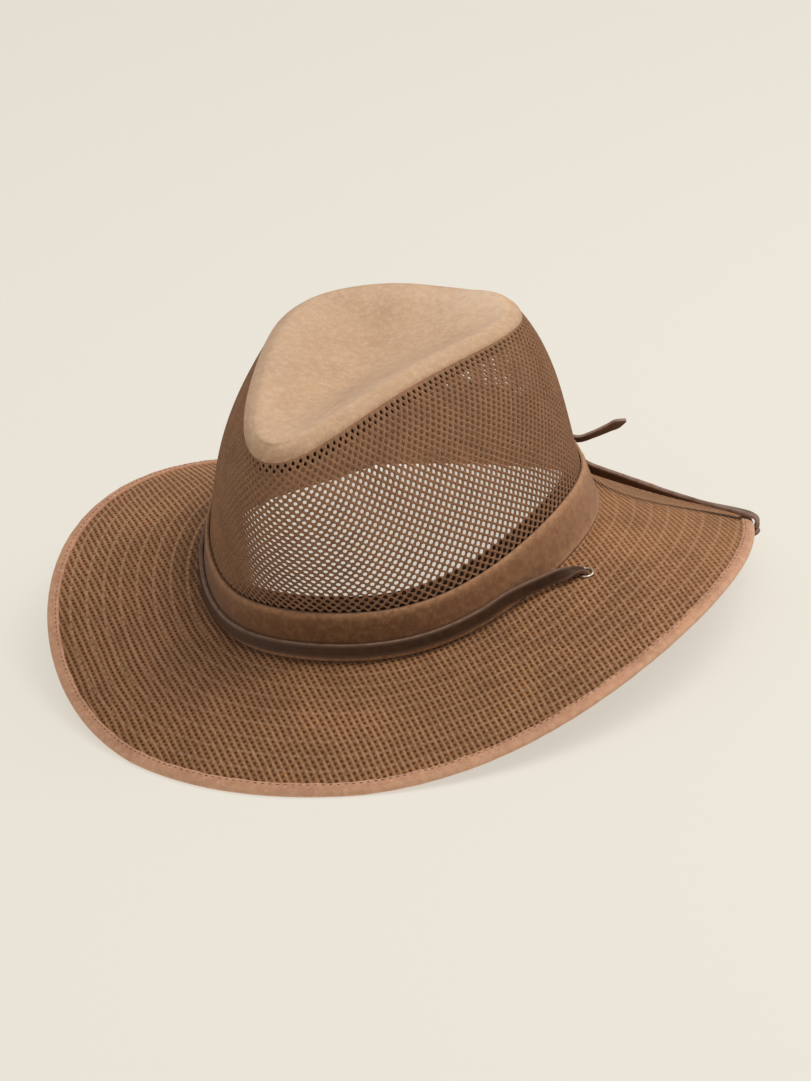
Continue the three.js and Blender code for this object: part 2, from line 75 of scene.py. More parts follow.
# Table and light
# A pale table that glows softly from below, as a light table does, with a pale wall beyond it. One large
# soft light stands on the wearer's left and a weaker one overhead, and the room fills the shadows.
TABLE_HALF, TABLE_TOP, TABLE_ROUGH = 3, -0.0003, 0.9
TABLE_COLOUR, TABLE_GLOW = (0.246, 0.233, 0.206, 1.0), (0.580, 0.549, 0.485, 1.0)
ROOM_COLOUR, ROOM_STRENGTH = (1.0, 0.985, 0.96, 1.0), 0.47
WALL_COLOUR = (0.745, 0.715, 0.620, 1.0)
SOFT_LIGHTS = [
    # name, azimuth, height angle, distance, width, power
    ("side_light", 118.0, 57.0, 1.7, 1.3, 16.5),
    ("top_light", 30.0, 74.0, 1.7, 1.0, 3.5),
]


def feed(tree, node, links):
    """Gives inputs of a node, by name or number, a value or the socket that feeds them."""
    for key, value in links.items():
        if isinstance(value, bpy.types.NodeSocket):
            tree.links.new(value, node.inputs[key])
        else:
            node.inputs[key].default_value = value


def add_node(tree, kind, links=None, **settings):
    made = tree.nodes.new(kind)
    for key, value in settings.items():
        setattr(made, key, value)
    feed(tree, made, links or {})
    return made


def new_material(name):
    """A material with a Principled BSDF and its output, and nothing else."""
    made = bpy.data.materials.new(name)
    made.use_nodes = True
    made.node_tree.nodes.clear()
    shader = add_node(made.node_tree, "ShaderNodeBsdfPrincipled")
    add_node(made.node_tree, "ShaderNodeOutputMaterial", {"Surface": shader.outputs["BSDF"]})
    return made, made.node_tree, shader


table_mesh = bpy.data.meshes.new("table")
table_corners = [(x * TABLE_HALF, y * TABLE_HALF, TABLE_TOP) for x, y in ((-1, -1), (1, -1), (1, 1), (-1, 1))]
table_mesh.from_pydata(table_corners, [], [(0, 1, 2, 3)])
table = bpy.data.objects.new("table", table_mesh)
bpy.context.scene.collection.objects.link(table)
table_material, table_tree, table_shader = new_material("pale_table")
feed(table_tree, table_shader, {"Base Color": TABLE_COLOUR, "Roughness": TABLE_ROUGH,
                                "Emission Color": TABLE_GLOW, "Emission Strength": 1.0})
table_mesh.materials.append(table_material)

room = bpy.data.worlds.new("room")
bpy.context.scene.world = room
room.use_nodes = True
room_tree = room.node_tree
room_light = room_tree.nodes["Background"]
feed(room_tree, room_light, {"Color": ROOM_COLOUR, "Strength": ROOM_STRENGTH})
seen_rays = add_node(room_tree, "ShaderNodeLightPath")
pale_wall = add_node(room_tree, "ShaderNodeBackground", {"Color": WALL_COLOUR, "Strength": 1.0})
room_mix = add_node(room_tree, "ShaderNodeMixShader", {0: seen_rays.outputs["Is Camera Ray"],
                                                       1: room_light.outputs[0], 2: pale_wall.outputs[0]})
feed(room_tree, room_tree.nodes["World Output"], {"Surface": room_mix.outputs[0]})
for light_name, azimuth, height, distance, width, power in SOFT_LIGHTS:
    light_data = bpy.data.lights.new(light_name, "AREA")
    light_data.shape, light_data.size, light_data.energy = "DISK", width, power
    light = bpy.data.objects.new(light_name, light_data)
    light_way = way_to(math.radians(azimuth), math.radians(height))
    light.location = VIEW_CENTRE + light_way * distance
    light.rotation_euler = light_way.to_track_quat("Z", "Y").to_euler()
    bpy.context.scene.collection.objects.link(light)


# Crown net
# The side wall of the crown: one knotted net of soft brown yarn, its holes in staggered rows, shaped over
# a block. Its foot is caught between the band and the sweatband, and its top is sewn under the tip.
HEAD = {"half_length": 0.1035, "half_width": 0.0865, "egg": -0.049, "third": -0.016, "fourth": 0.015}
FOOT_WAVE = {"side": 0.0059, "third": -0.00065, "fourth": 0.0031}
BAND_HEIGHT, BAND_LEAN = 0.0211, 0.0046
NET = {"inset": 0.0018, "thick": 0.0012, "bulge": 0.0050, "front": 0.0006, "full": 0.45}
SEAM = {"half_width": 0.054, "front": -0.49, "second": 0.135, "centre": -0.0116, "half_length": 0.0828,
        "bend": -0.0023, "height": 0.0975, "first": 0.0024, "cross": -0.0030, "third": -0.0016}
LEAN, FLOOR_LEVEL, SET_DOWN = math.radians(4.6), -0.031627391, np.array((0.000257, 0.008652, 0.0))
NET_ROUND, NET_ROWS, NET_TUCKED = 136, 43, 2
NET_TOP, NET_FOOT = 1.995, 0.84
HOLE_WIDE, HOLE_TALL, HOLE_AT_SEAM, STRAND_ROUND = 0.315, 0.56, 0.72, 0.00026
NET_YARN = {"Colour": (0.262, 0.126, 0.060, 1), "Dark": (0.150, 0.066, 0.029, 1),
            "Pale": (0.43, 0.245, 0.145, 1)}
# The net's inner face is coloured paler than its outer face: painted light on the inside of the crown.
NET_INSIDE_LIT, NET_INSIDE_LIT_SHARE = (0.60, 0.385, 0.26, 1), 0.85
SLOPE_STEP = 0.01


def vectors(*parts):
    return np.stack(np.broadcast_arrays(*parts), -1)


def unit(v):
    return v / np.linalg.norm(v, axis=-1, keepdims=True)


def foot(a, out=0.0):
    """The crown's foot line, under the band. Angle 0 is the front and 90 degrees the wearer's left."""
    k = 1 + HEAD["third"] * np.cos(3 * a) + HEAD["fourth"] * np.cos(4 * a)
    rise = (FOOT_WAVE["side"] * 0.5 * (1 - np.cos(2 * a)) + FOOT_WAVE["third"] * np.cos(3 * a)
            + FOOT_WAVE["fourth"] * np.cos(4 * a))
    return vectors((HEAD["half_width"] + out) * np.sin(a) * (1 + HEAD["egg"] * np.cos(a)) * k,
                   -(HEAD["half_length"] + out) * np.cos(a) * k, rise)


def seam(a):
    """The line where the tip is sewn to the net."""
    return vectors(
        SEAM["half_width"] * np.sin(a) * (1 + SEAM["front"] * np.cos(a) + SEAM["second"] * np.cos(2 * a)),
        SEAM["centre"] - SEAM["half_length"] * np.cos(a) + SEAM["bend"] * np.cos(2 * a),
        SEAM["height"] + SEAM["first"] * np.cos(a) + SEAM["cross"] * np.cos(2 * a)
        + SEAM["third"] * np.cos(3 * a))


def level_normal(curve, a):
    d = curve(a + SLOPE_STEP) - curve(a - SLOPE_STEP)
    return unit(vectors(d[..., 1], -d[..., 0], np.zeros_like(d[..., 0])))


def wall_point(a, s):
    """The crown's wall: s runs 0 to 1 up the band and 1 to 2 from the band to the seam."""
    a, s = np.broadcast_arrays(np.asarray(a, float), np.asarray(s, float))
    low = foot(a, -BAND_LEAN * s) + vectors(0 * s, 0 * s, BAND_HEIGHT * s)
    top = foot(a, -BAND_LEAN) + np.array((0, 0, BAND_HEIGHT))
    u = (s - 1)[..., None]
    fullness = 4 * u * (1 - u) * (1 + NET["full"] * (2 * u - 1))
    swell = fullness * (NET["bulge"] + NET["front"] * np.cos(a))[..., None]
    high = top * (1 - u) + seam(a) * u + level_normal(foot, a) * swell
    return np.where(u <= 0, low, high)


def wall(a, s, inset):
    """A point at a depth inside the crown's wall."""
    across = wall_point(a + SLOPE_STEP, s) - wall_point(a - SLOPE_STEP, s)
    upward = wall_point(a, s + SLOPE_STEP) - wall_point(a, s - SLOPE_STEP)
    return wall_point(a, s) - unit(np.cross(across, upward)) * np.asarray(inset)[..., None]


def net_inset(s):
    """Depth of the net's outer face: it is set in behind the band, and comes out toward the seam."""
    return np.where(s <= 1, NET["inset"], NET["inset"] * (2 - s))


def set_down(p):
    """From the hat's own frame to the hat as it rests, leaning a little forward on its brim."""
    y = p[..., 1] * math.cos(LEAN) - p[..., 2] * math.sin(LEAN)
    z = p[..., 1] * math.sin(LEAN) + p[..., 2] * math.cos(LEAN)
    return vectors(p[..., 0], y, np.maximum(0, z - FLOOR_LEVEL)) + SET_DOWN


def mesh_object(name, points, faces, material, masks=None):
    """A smooth mesh object. masks are values per point, by name, that its material reads."""
    mesh = bpy.data.meshes.new(name)
    mesh.from_pydata(np.asarray(points).reshape(-1, 3).tolist(), [], faces)
    for mask_name, values in (masks or {}).items():
        stored_mask = mesh.attributes.new(mask_name, "FLOAT", "POINT")
        stored_mask.data.foreach_set("value", np.asarray(values, np.float32).ravel())
    mesh.validate()
    mesh.polygons.foreach_set("use_smooth", [True] * len(mesh.polygons))
    mesh.materials.append(material)
    made = bpy.data.objects.new(name, mesh)
    bpy.context.scene.collection.objects.link(made)
    return made


turns = np.linspace(0, 2 * math.pi, 1441)


def even_angles(curve):
    """Share of the way round a closed curve, for each angle in turns."""
    steps = np.linalg.norm(np.diff(curve(turns), axis=0), axis=1)
    return np.concatenate([[0.0], np.cumsum(steps) / steps.sum()])


share_at_band = even_angles(lambda a: wall_point(a, 1.0))
share_at_seam = even_angles(seam)


def net_angle(share, s):
    """The angle of a lengthwise line of the net. The lines stay evenly spaced from band to seam."""
    whole, part = np.floor(share), share - np.floor(share)
    u = np.clip(s - 1, 0, 1)
    at_band, at_seam = np.interp(part, share_at_band, turns), np.interp(part, share_at_seam, turns)
    return 2 * math.pi * whole + (1 - u) * at_band + u * at_seam


def net_level(row):
    """Height along the wall of a row of knots: the first rows are tucked behind the band."""
    row = np.asarray(row, float)
    tucked = NET_FOOT + (1 - NET_FOOT) * row / NET_TUCKED
    shown = 1 + (NET_TOP - 1) * (row - NET_TUCKED) / (NET_ROWS - NET_TUCKED)
    return np.where(row < NET_TUCKED, tucked, shown)


def net_points(column, row, depth):
    s = net_level(row)
    return set_down(wall(net_angle(column / NET_ROUND, s), s, net_inset(s) + depth))


# Each cell is a diamond between four knots, with a six-sided hole cut through it
columns, rows = np.meshgrid(np.arange(NET_ROUND), np.arange(NET_ROWS + 1))
knots = [net_points(columns + 0.5 + 0.5 * (rows % 2), rows, depth) for depth in (0.0, NET["thick"])]
hole_corners = [(1, 0), (0.5, 1), (-0.5, 1), (-1, 0), (-0.5, -1), (0.5, -1)]
cell_columns, cell_rows = columns[1:-1], rows[1:-1]
cell_odd = cell_rows % 2
cell_middles = cell_columns + 0.5 * cell_odd
hole_size = 1 - (1 - HOLE_AT_SEAM) * cell_rows / NET_ROWS
holes = [[net_points(cell_middles + HOLE_WIDE * hole_size * x, cell_rows + HOLE_TALL * hole_size * y, depth)
          for x, y in hole_corners] for depth in (STRAND_ROUND, NET["thick"] - STRAND_ROUND)]
net_points_all = knots + holes[0] + holes[1]
net_vertices = np.concatenate([p.reshape(-1, 3) for p in net_points_all])
knot_count, cell_count = knots[0].size // 3, cell_rows.size
cell_index = np.arange(cell_count).reshape(cell_rows.shape)


def knot_index(column, row, side):
    return side * knot_count + row * NET_ROUND + column % NET_ROUND


def hole_index(corner, side):
    return 2 * knot_count + (side * 6 + corner % 6) * cell_count + cell_index


net_faces = []
for side in (0, 1):
    east = knot_index(cell_columns, cell_rows, side)
    west = knot_index(cell_columns - 1, cell_rows, side)
    north = knot_index(cell_columns + cell_odd - 1, cell_rows + 1, side)
    south = knot_index(cell_columns + cell_odd - 1, cell_rows - 1, side)
    h = [hole_index(k, side) for k in range(6)]
    for face in [(east, north, h[1], h[0]), (north, west, h[3], h[2]), (west, south, h[4], h[3]),
                 (south, east, h[0], h[5]), (north, h[2], h[1]), (south, h[5], h[4])]:
        ordered = face if side == 0 else face[::-1]
        net_faces += np.stack(ordered, -1).reshape(-1, len(face)).tolist()
for k in range(6):
    through = (hole_index(k, 0), hole_index(k + 1, 0), hole_index(k + 1, 1), hole_index(k, 1))
    net_faces += np.stack(through, -1).reshape(-1, 4).tolist()
# Half cells along the foot and the top close the net's two edges
around = np.arange(NET_ROUND)
for row, inner_row in ((0, 1), (NET_ROWS, NET_ROWS - 1)):
    for side in (0, 1):
        half_cells = np.stack((knot_index(around, row, side), knot_index(around + 1, row, side),
                               knot_index(around + row % 2, inner_row, side)), -1)
        net_faces += (half_cells if (row == 0) == (side == 0) else half_cells[:, ::-1]).tolist()
    edge = np.stack((knot_index(around, row, 0), knot_index(around + 1, row, 0),
                     knot_index(around + 1, row, 1), knot_index(around, row, 1)), -1)
    net_faces += (edge if row else edge[:, ::-1]).tolist()


def new_effect(name, inputs, outputs):
    """A shader node group, with its inputs and outputs as names and kinds: Color or Float."""
    made = bpy.data.node_groups.new(name, "ShaderNodeTree")
    for way, sockets in (("INPUT", inputs), ("OUTPUT", outputs)):
        for socket, kind in sockets.items():
            made.interface.new_socket(socket, in_out=way, socket_type="NodeSocket" + kind)
    return made, add_node(made, "NodeGroupInput").outputs, add_node(made, "NodeGroupOutput")


def place_effect(tree, effect, links):
    return add_node(tree, "ShaderNodeGroup", links, node_tree=effect).outputs


def own_place(tree):
    """Coordinates that stay with the object."""
    return add_node(tree, "ShaderNodeTexCoord").outputs["Object"]


def stored(tree, name):
    """A mask stored on the mesh."""
    return add_node(tree, "ShaderNodeAttribute", attribute_name=name).outputs["Fac"]


def noise(tree, place, scale, detail, roughness=0.5):
    links = {"Vector": place, "Scale": scale, "Detail": detail, "Roughness": roughness}
    return add_node(tree, "ShaderNodeTexNoise", links).outputs["Fac"]


def remap(tree, value, from_range, to_range, steps="LINEAR"):
    """A value moved from one range to another, and held inside it."""
    links = {"Value": value, 1: from_range[0], 2: from_range[1], 3: to_range[0], 4: to_range[1]}
    return add_node(tree, "ShaderNodeMapRange", links, interpolation_type=steps).outputs[0]


def mix(tree, share, first, second):
    return add_node(tree, "ShaderNodeMix", {0: share, 6: first, 7: second}, data_type="RGBA").outputs[2]


def bump(tree, height, strength, deep):
    links = {"Height": height, "Strength": strength, "Distance": deep}
    return add_node(tree, "ShaderNodeBump", links).outputs["Normal"]


# Yarn: a soft twisted thread, darker in its hollows and with stray pale fibres
THREE_TONES = {"Colour": "Color", "Dark": "Color", "Pale": "Color"}
yarn, yarn_in, yarn_out = new_effect("yarn", THREE_TONES, {"Colour": "Color", "Height": "Float"})
yarn_place = own_place(yarn)
yarn_fibres = noise(yarn, yarn_place, scale=1500.0, detail=3.0)
yarn_hollows = remap(yarn, noise(yarn, yarn_place, scale=70.0, detail=3.0), (0.38, 0.68), (0.0, 0.55))
yarn_strays = remap(yarn, yarn_fibres, (0.45, 0.75), (0.0, 0.75))
yarn_hollowed = mix(yarn, yarn_hollows, yarn_in["Colour"], yarn_in["Dark"])
feed(yarn, yarn_out, {"Colour": mix(yarn, yarn_strays, yarn_hollowed, yarn_in["Pale"]),
                      "Height": yarn_fibres})

net_material, net_tree, net_shader = new_material("net_yarn")
net_yarn = place_effect(net_tree, yarn, NET_YARN)
# Paler inner face: painted light.
feed(net_tree, net_shader, {
    "Base Color": mix(net_tree, stored(net_tree, "inner"), net_yarn["Colour"], NET_INSIDE_LIT),
    "Normal": bump(net_tree, net_yarn["Height"], strength=0.5, deep=0.0003),
    "Roughness": 0.85, "Specular IOR Level": 0.3})
net_inner_lit = np.concatenate([np.repeat([0.0, NET_INSIDE_LIT_SHARE], n) for n in (knot_count, 6 * cell_count)])
crown_net = mesh_object("crown_net_yarn", net_vertices, net_faces, net_material, {"inner": net_inner_lit})
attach(crown_net, "root")
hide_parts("crown_net")


# Seam tape
# A dark woven tape, sewn in round the inside of the tip seam. Its near-black colour is partly the tape's own
# and partly painted shade for the shaded inside of the tip, and it shows as dark holes in the first rows of
# the net.
TAPE_YARN_SHADED = {"Colour": (0.030, 0.014, 0.007, 1), "Dark": (0.012, 0.006, 0.003, 1),
             "Pale": (0.06, 0.03, 0.016, 1)}
TAPE_SECTION = [
    # distance down from the seam, gap to the net's inner face
    (-0.0004, 0.00035), (0.0021, 0.00035), (0.0042, 0.00035), (0.0045, 0.00085), (0.0042, 0.00135),
    (0.0021, 0.00135), (-0.0004, 0.00135),
]
SMOOTH_ROUND = 360
round_angles = np.arange(SMOOTH_ROUND) * 2 * math.pi / SMOOTH_ROUND
net_slope = np.linalg.norm(wall_point(round_angles, 2.0) - wall_point(round_angles, 1.0), axis=1)


def ring_faces(row_count, column_count, closed_section=True):
    """Quads between rings of points that run round the hat."""
    last = row_count if closed_section else row_count - 1
    r, c = np.meshgrid(np.arange(last), np.arange(column_count), indexing="ij")
    down, across = (r + 1) % row_count, (c + 1) % column_count
    return np.stack((r * column_count + c, r * column_count + across, down * column_count + across,
                     down * column_count + c), -1).reshape(-1, 4).tolist()


def tape_ring(down, gap):
    s = NET_TOP - down / net_slope
    return set_down(wall(round_angles, s, net_inset(s) + NET["thick"] + gap))


tape_material, tape_tree, tape_shader = new_material("dark_tape")
tape_yarn_shaded = place_effect(tape_tree, yarn, TAPE_YARN_SHADED)
feed(tape_tree, tape_shader, {"Base Color": tape_yarn_shaded["Colour"], "Roughness": 0.9,
                              "Normal": bump(tape_tree, tape_yarn_shaded["Height"], strength=0.4, deep=0.0003)})
seam_tape = mesh_object("seam_tape", [tape_ring(*row) for row in TAPE_SECTION],
                        ring_faces(len(TAPE_SECTION), SMOOTH_ROUND), tape_material)
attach(seam_tape, "root")
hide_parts("crown_seam_tape")


# Crown tip
# One teardrop of tan suede, pressed to a shallow bowl with a raised rim. Its border is turned down all round,
# sewn over the net and painted darker as painted shade; the crest of the rim is paler, partly from wear and
# partly as a painted highlight that is strongest at the knob, and the nap lies in soft patches.
TIP_ROWS = [
    # distance in from the seam and height over it: at the side, at the front and at the back
    (-0.0003, -0.0007, -0.0003, -0.0007, -0.0003, -0.0007),
    (0.0002, 0.0008, 0.0, 0.0010, 0.0002, 0.0008),
    (0.0015, 0.0017, 0.0006, 0.0030, 0.0012, 0.0018),
    (0.0042, 0.0030, 0.0024, 0.0058, 0.0036, 0.0034),
    (0.0080, 0.0034, 0.0060, 0.0072, 0.0075, 0.0040),
]
TIP_THICK, TIP_UNDER_IN, TIP_UNDER_DOWN, TIP_STEPS = 0.0015, 0.8, 0.9, 6
BOWL_DEPTH, BOWL_MIDDLE_Y, BOWL_FLAT = 0.0110, 0.010, 0.25
BOWL_STEPS = (0.22, 0.45, 0.70, 0.86, 0.97)
RIM_KNOB, RIM_KNOB_AT, RIM_KNOB_WIDE = 0.5, math.radians(150), math.radians(15)
RIM_DIP, RIM_DIP_AT, RIM_DIP_WIDE = 0.5, math.radians(173), math.radians(12)
RIM_CREASE_AT, RIM_CREASE_WIDE = math.radians(110), math.radians(50)
SUEDE_TAN = {"Colour": (0.580, 0.375, 0.226, 1), "Dark": (0.41, 0.238, 0.142, 1),
             "Pale": (0.74, 0.52, 0.350, 1)}


def smooth_rows(rows, between):
    """A smooth run through rows of values, with a number of steps between each two."""
    rows = np.asarray(rows, float)
    padded = np.concatenate([2 * rows[:1] - rows[1:2], rows, 2 * rows[-1:] - rows[-2:-1]])
    t = (np.arange(between) / between).reshape((-1,) + (1,) * (rows.ndim - 1))
    parts = []
    for i in range(len(rows) - 1):
        p0, p1, p2, p3 = padded[i:i + 4]
        parts.append(0.5 * (2 * p1 + (p2 - p0) * t + (2 * p0 - 5 * p1 + 4 * p2 - p3) * t ** 2
                            + (3 * p1 - p0 - 3 * p2 + p3) * t ** 3))
    return np.concatenate(parts + [rows[-1:]])


def hump(value, at, wide):
    """1 at a place, and softly 0 away from it."""
    return np.exp(-((value - at) / wide) ** 2)


def tip_ring(row, under):
    """A ring of the tip's border and rim, on its upper face or, under it, on its lower face."""
    a = round_angles
    front, behind = np.maximum(0, np.cos(a)) ** 6, np.maximum(0, -np.cos(a)) ** 2
    side = 1 - front - behind
    inward = row[0] * side + row[2] * front + row[4] * behind + under * TIP_UNDER_IN
    knob = RIM_KNOB * hump(a, RIM_KNOB_AT, RIM_KNOB_WIDE)
    dip = RIM_DIP * hump(a, RIM_DIP_AT, RIM_DIP_WIDE)
    up = (row[1] * side + row[3] * front + row[5] * behind) * (1 + knob - dip) - under * TIP_UNDER_DOWN
    return seam(a) - level_normal(seam, a) * inward[:, None] + vectors(0 * up, 0 * up, up)


def tip_rings(under):
    """All rings of one face of the tip, and the middle of its bowl."""
    rim = tip_ring(TIP_ROWS[-1], under)
    middle = np.array((0.0, BOWL_MIDDLE_Y, SEAM["height"] + TIP_ROWS[-1][1] - BOWL_DEPTH - under))
    rings = [tip_ring(row, under) for row in TIP_ROWS]
    crease = BOWL_FLAT + (1 - BOWL_FLAT) * hump(round_angles, RIM_CREASE_AT, RIM_CREASE_WIDE)
    for k in BOWL_STEPS:
        ring = rim * (1 - k) + middle * k
        sunk = crease * (1 - (1 - k) ** 2) + (1 - crease) * k * k * (3 - 2 * k)
        ring[:, 2] = rim[:, 2] + (middle[2] - rim[:, 2]) * sunk
        rings.append(ring)
    return smooth_rows(rings, TIP_STEPS), middle


tip_top, tip_middle = tip_rings(0.0)
tip_under, tip_middle_under = tip_rings(TIP_THICK)
tip_points = np.concatenate([tip_top[::-1], tip_under]).reshape(-1, 3)
tip_faces = ring_faces(2 * len(tip_top), SMOOTH_ROUND, closed_section=False)
top_middle, under_middle = len(tip_points), len(tip_points) + 1
last_ring = len(tip_points) - SMOOTH_ROUND
for i in range(SMOOTH_ROUND):
    j = (i + 1) % SMOOTH_ROUND
    tip_faces += [(top_middle, j, i), (under_middle, last_ring + i, last_ring + j)]
tip_points = set_down(np.concatenate([tip_points, [tip_middle], [tip_middle_under]]))

# The tip's masks run over its rings, from the sewn border to the middle, and round it. The crest is paler
# from wear and from a painted highlight, most at the knob, and the turned-down border is darker from painted
# shade, most at the front.
ring_number = np.arange(len(tip_top))
crest, knob_slope = hump(ring_number, 25.0, 5.0), hump(ring_number, 30.0, 12.0)
border = np.clip(1 - ring_number / 20.0, 0, 1)
knob_near = hump(round_angles, RIM_KNOB_AT, 0.5)
front_near = np.maximum(0, np.cos(round_angles)) ** 4
tip_wear_and_light = np.outer(crest, 0.25 + 0.55 * knob_near) + np.outer(knob_slope, 0.55 * knob_near)
tip_shaded = np.outer(border, 0.6 + 0.4 * front_near)


def on_both_faces(table):
    return np.concatenate([np.concatenate([table[::-1], table]).ravel(), [0, 0]])


def maths(tree, operation, *values):
    return add_node(tree, "ShaderNodeMath", dict(enumerate(values)), operation=operation).outputs[0]


# Suede: a short nap in patches, fine specks, paler where a mask of wear and painted light says so, and darker
# where a mask of painted shade says so
suede, suede_in, suede_out = new_effect(
    "suede_nap", {**THREE_TONES, "WearAndLight": "Float", "Shaded": "Float", "Mottle": "Float"},
    {"Colour": "Color", "Height": "Float", "Roughness": "Float"})
suede_place = own_place(suede)
nap_patches = noise(suede, suede_place, scale=55.0, detail=5.0, roughness=0.62)
nap_strokes = noise(suede, suede_place, scale=330.0, detail=4.0, roughness=0.65)
nap_specks = noise(suede, suede_place, scale=1500.0, detail=3.0, roughness=0.7)
all_patches = remap(suede, nap_patches, (0.40, 0.72), (0.0, 0.50))
all_strokes = remap(suede, nap_strokes, (0.45, 0.72), (0.0, 0.60))
rub_breaks = remap(suede, nap_strokes, (0.30, 0.60), (0.45, 1.0))
patch_mask = maths(suede, "MULTIPLY", all_patches, suede_in["Mottle"])
stroke_mask = maths(suede, "MULTIPLY", all_strokes, suede_in["Mottle"])
speck_mask = remap(suede, nap_specks, (0.50, 0.72), (0.0, 0.75))
rub_mask = maths(suede, "MULTIPLY", suede_in["WearAndLight"], rub_breaks)
dark_mask = maths(suede, "MAXIMUM", suede_in["Shaded"], patch_mask)
napped = mix(suede, dark_mask, suede_in["Colour"], suede_in["Dark"])
stroked = mix(suede, stroke_mask, napped, suede_in["Pale"])
specked = mix(suede, speck_mask, stroked, suede_in["Dark"])
feed(suede, suede_out, {"Colour": mix(suede, rub_mask, specked, suede_in["Pale"]),
                        "Height": maths(suede, "ADD", nap_strokes, nap_specks),
                        "Roughness": remap(suede, nap_strokes, (0.3, 0.7), (0.82, 0.98))})


def suede_material(name, tones, mottle, strength):
    """Suede in three tones, made paler by a mask of wear and painted light and darker by a mask of painted
    shade, both stored on the mesh.
    """
    made, tree, shader = new_material(name)
    masks = {"WearAndLight": stored(tree, "wear_and_light"), "Shaded": stored(tree, "shaded")}
    nap = place_effect(tree, suede, {**tones, **masks, "Mottle": mottle})
    feed(tree, shader, {"Base Color": nap["Colour"], "Roughness": nap["Roughness"],
                        "Normal": bump(tree, nap["Height"], strength, deep=0.0004),
                        "Sheen Weight": 0.10, "Sheen Roughness": 0.5, "Specular IOR Level": 0.2})
    return made


tip_material = suede_material("tip_suede", SUEDE_TAN, mottle=0.9, strength=0.45)
crown_tip = mesh_object("crown_tip_suede", tip_points, tip_faces, tip_material,
                        {"wear_and_light": on_both_faces(tip_wear_and_light), "shaded": on_both_faces(tip_shaded)})
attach(crown_tip, "root")
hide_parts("crown_tip")


# Sweatband
# A cloth band inside, a little taller than the outer one, with a rolled top edge. Its outside is painted dark
# as painted shade and the face toward the head is painted lighter as painted light, and its lower edge hangs
# a little loose at the wearer's right.
SWEAT = {"inset": 0.0033, "above": 0.0065, "below": 0.0024}
SWEAT_LOOSE, SWEAT_LOOSE_AT, SWEAT_LOOSE_WIDE = 0.0042, math.radians(-122), math.radians(42)
SWEAT_OUTSIDE_SHADED = {"Colour": (0.060, 0.027, 0.013, 1), "Dark": (0.032, 0.013, 0.006, 1),
                 "Pale": (0.11, 0.055, 0.030, 1)}
SWEAT_INSIDE_LIT = {"Colour": (0.245, 0.126, 0.066, 1), "Dark": (0.165, 0.080, 0.040, 1),
                "Pale": (0.36, 0.20, 0.118, 1)}
SWEAT_SECTION = [
    # share of the height up to 1 at the band's top, then up to 2 at the upper edge; inset; inner face
    (0.0, 0.0, 0), (0.25, 0.0, 0), (0.5, 0.0, 0), (0.75, 0.0, 0), (1.0, 0.0, 0), (1.5, 0.0, 0),
    (1.9, 0.0, 0), (2.0, 0.0004, 0), (2.0, 0.0010, 1), (1.9, 0.0013, 1), (1.5, 0.0014, 1), (1.0, 0.0015, 1),
    (0.75, 0.0015, 1), (0.5, 0.0015, 1), (0.25, 0.0015, 1), (0.0, 0.0012, 1),
]


def sweat_ring(k, inset):
    turned = (round_angles - SWEAT_LOOSE_AT + math.pi) % (2 * math.pi) - math.pi
    low = -(SWEAT["below"] + SWEAT_LOOSE * hump(turned, 0, SWEAT_LOOSE_WIDE)) / BAND_HEIGHT
    s = low + min(k, 1) * (1 - low) + max(0, k - 1) * SWEAT["above"] / net_slope
    drawn_in = np.where(s > 1, net_inset(s) - NET["inset"], 0)
    return set_down(wall(round_angles, s, SWEAT["inset"] + inset + drawn_in))


sweat_material, sweat_tree, sweat_shader = new_material("sweatband_cloth")
sweat_outside_shaded = place_effect(sweat_tree, yarn, SWEAT_OUTSIDE_SHADED)
sweat_inside_lit = place_effect(sweat_tree, yarn, SWEAT_INSIDE_LIT)
sweat_face = stored(sweat_tree, "inner")
# Dark outer face: painted shade. Lighter inner face: painted light.
feed(sweat_tree, sweat_shader, {
    "Base Color": mix(sweat_tree, sweat_face, sweat_outside_shaded["Colour"], sweat_inside_lit["Colour"]),
    "Normal": bump(sweat_tree, sweat_outside_shaded["Height"], strength=0.5, deep=0.0003), "Roughness": 0.9})
sweatband = mesh_object("sweatband_cloth", [sweat_ring(k, inset) for k, inset, _ in SWEAT_SECTION],
                        ring_faces(len(SWEAT_SECTION), SMOOTH_ROUND), sweat_material,
                        {"inner": np.repeat([float(row[2]) for row in SWEAT_SECTION], SMOOTH_ROUND)})
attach(sweatband, "root")
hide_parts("sweatband")


# Hat band
# A strip of dark brown suede, sewn round the crown's foot over the net and worn paler along both edges. It is
# painted paler on the side where the light falls, as painted light, and darker in front, as painted shade.
BAND_SECTION = [
    # share of the height, inset, wear
    (0.03, 0.0000, 0.9), (0.07, -0.00012, 1.0), (0.14, -0.00018, 0.35), (0.30, -0.00024, 0.05),
    (0.50, -0.00025, 0.0), (0.70, -0.00024, 0.05), (0.86, -0.00020, 0.25), (0.94, -0.00012, 0.8),
    (0.985, 0.00005, 1.0), (1.0, 0.00035, 1.0), (1.0, 0.0015, 0.6), (0.5, 0.0015, 0.0), (0.03, 0.0015, 0.0),
]
BAND_WORN, BAND_PAINTED_LIGHT, BAND_PAINTED_LIGHT_AT = 0.75, 0.62, math.radians(115)
BAND_PAINTED_SHADE, BAND_PAINTED_SHADE_AT = 0.9, math.radians(20)
SUEDE_BROWN = {"Colour": (0.205, 0.086, 0.034, 1), "Dark": (0.110, 0.044, 0.016, 1),
               "Pale": (0.46, 0.240, 0.122, 1)}
band_material = suede_material("band_suede", SUEDE_BROWN, mottle=0.42, strength=0.6)
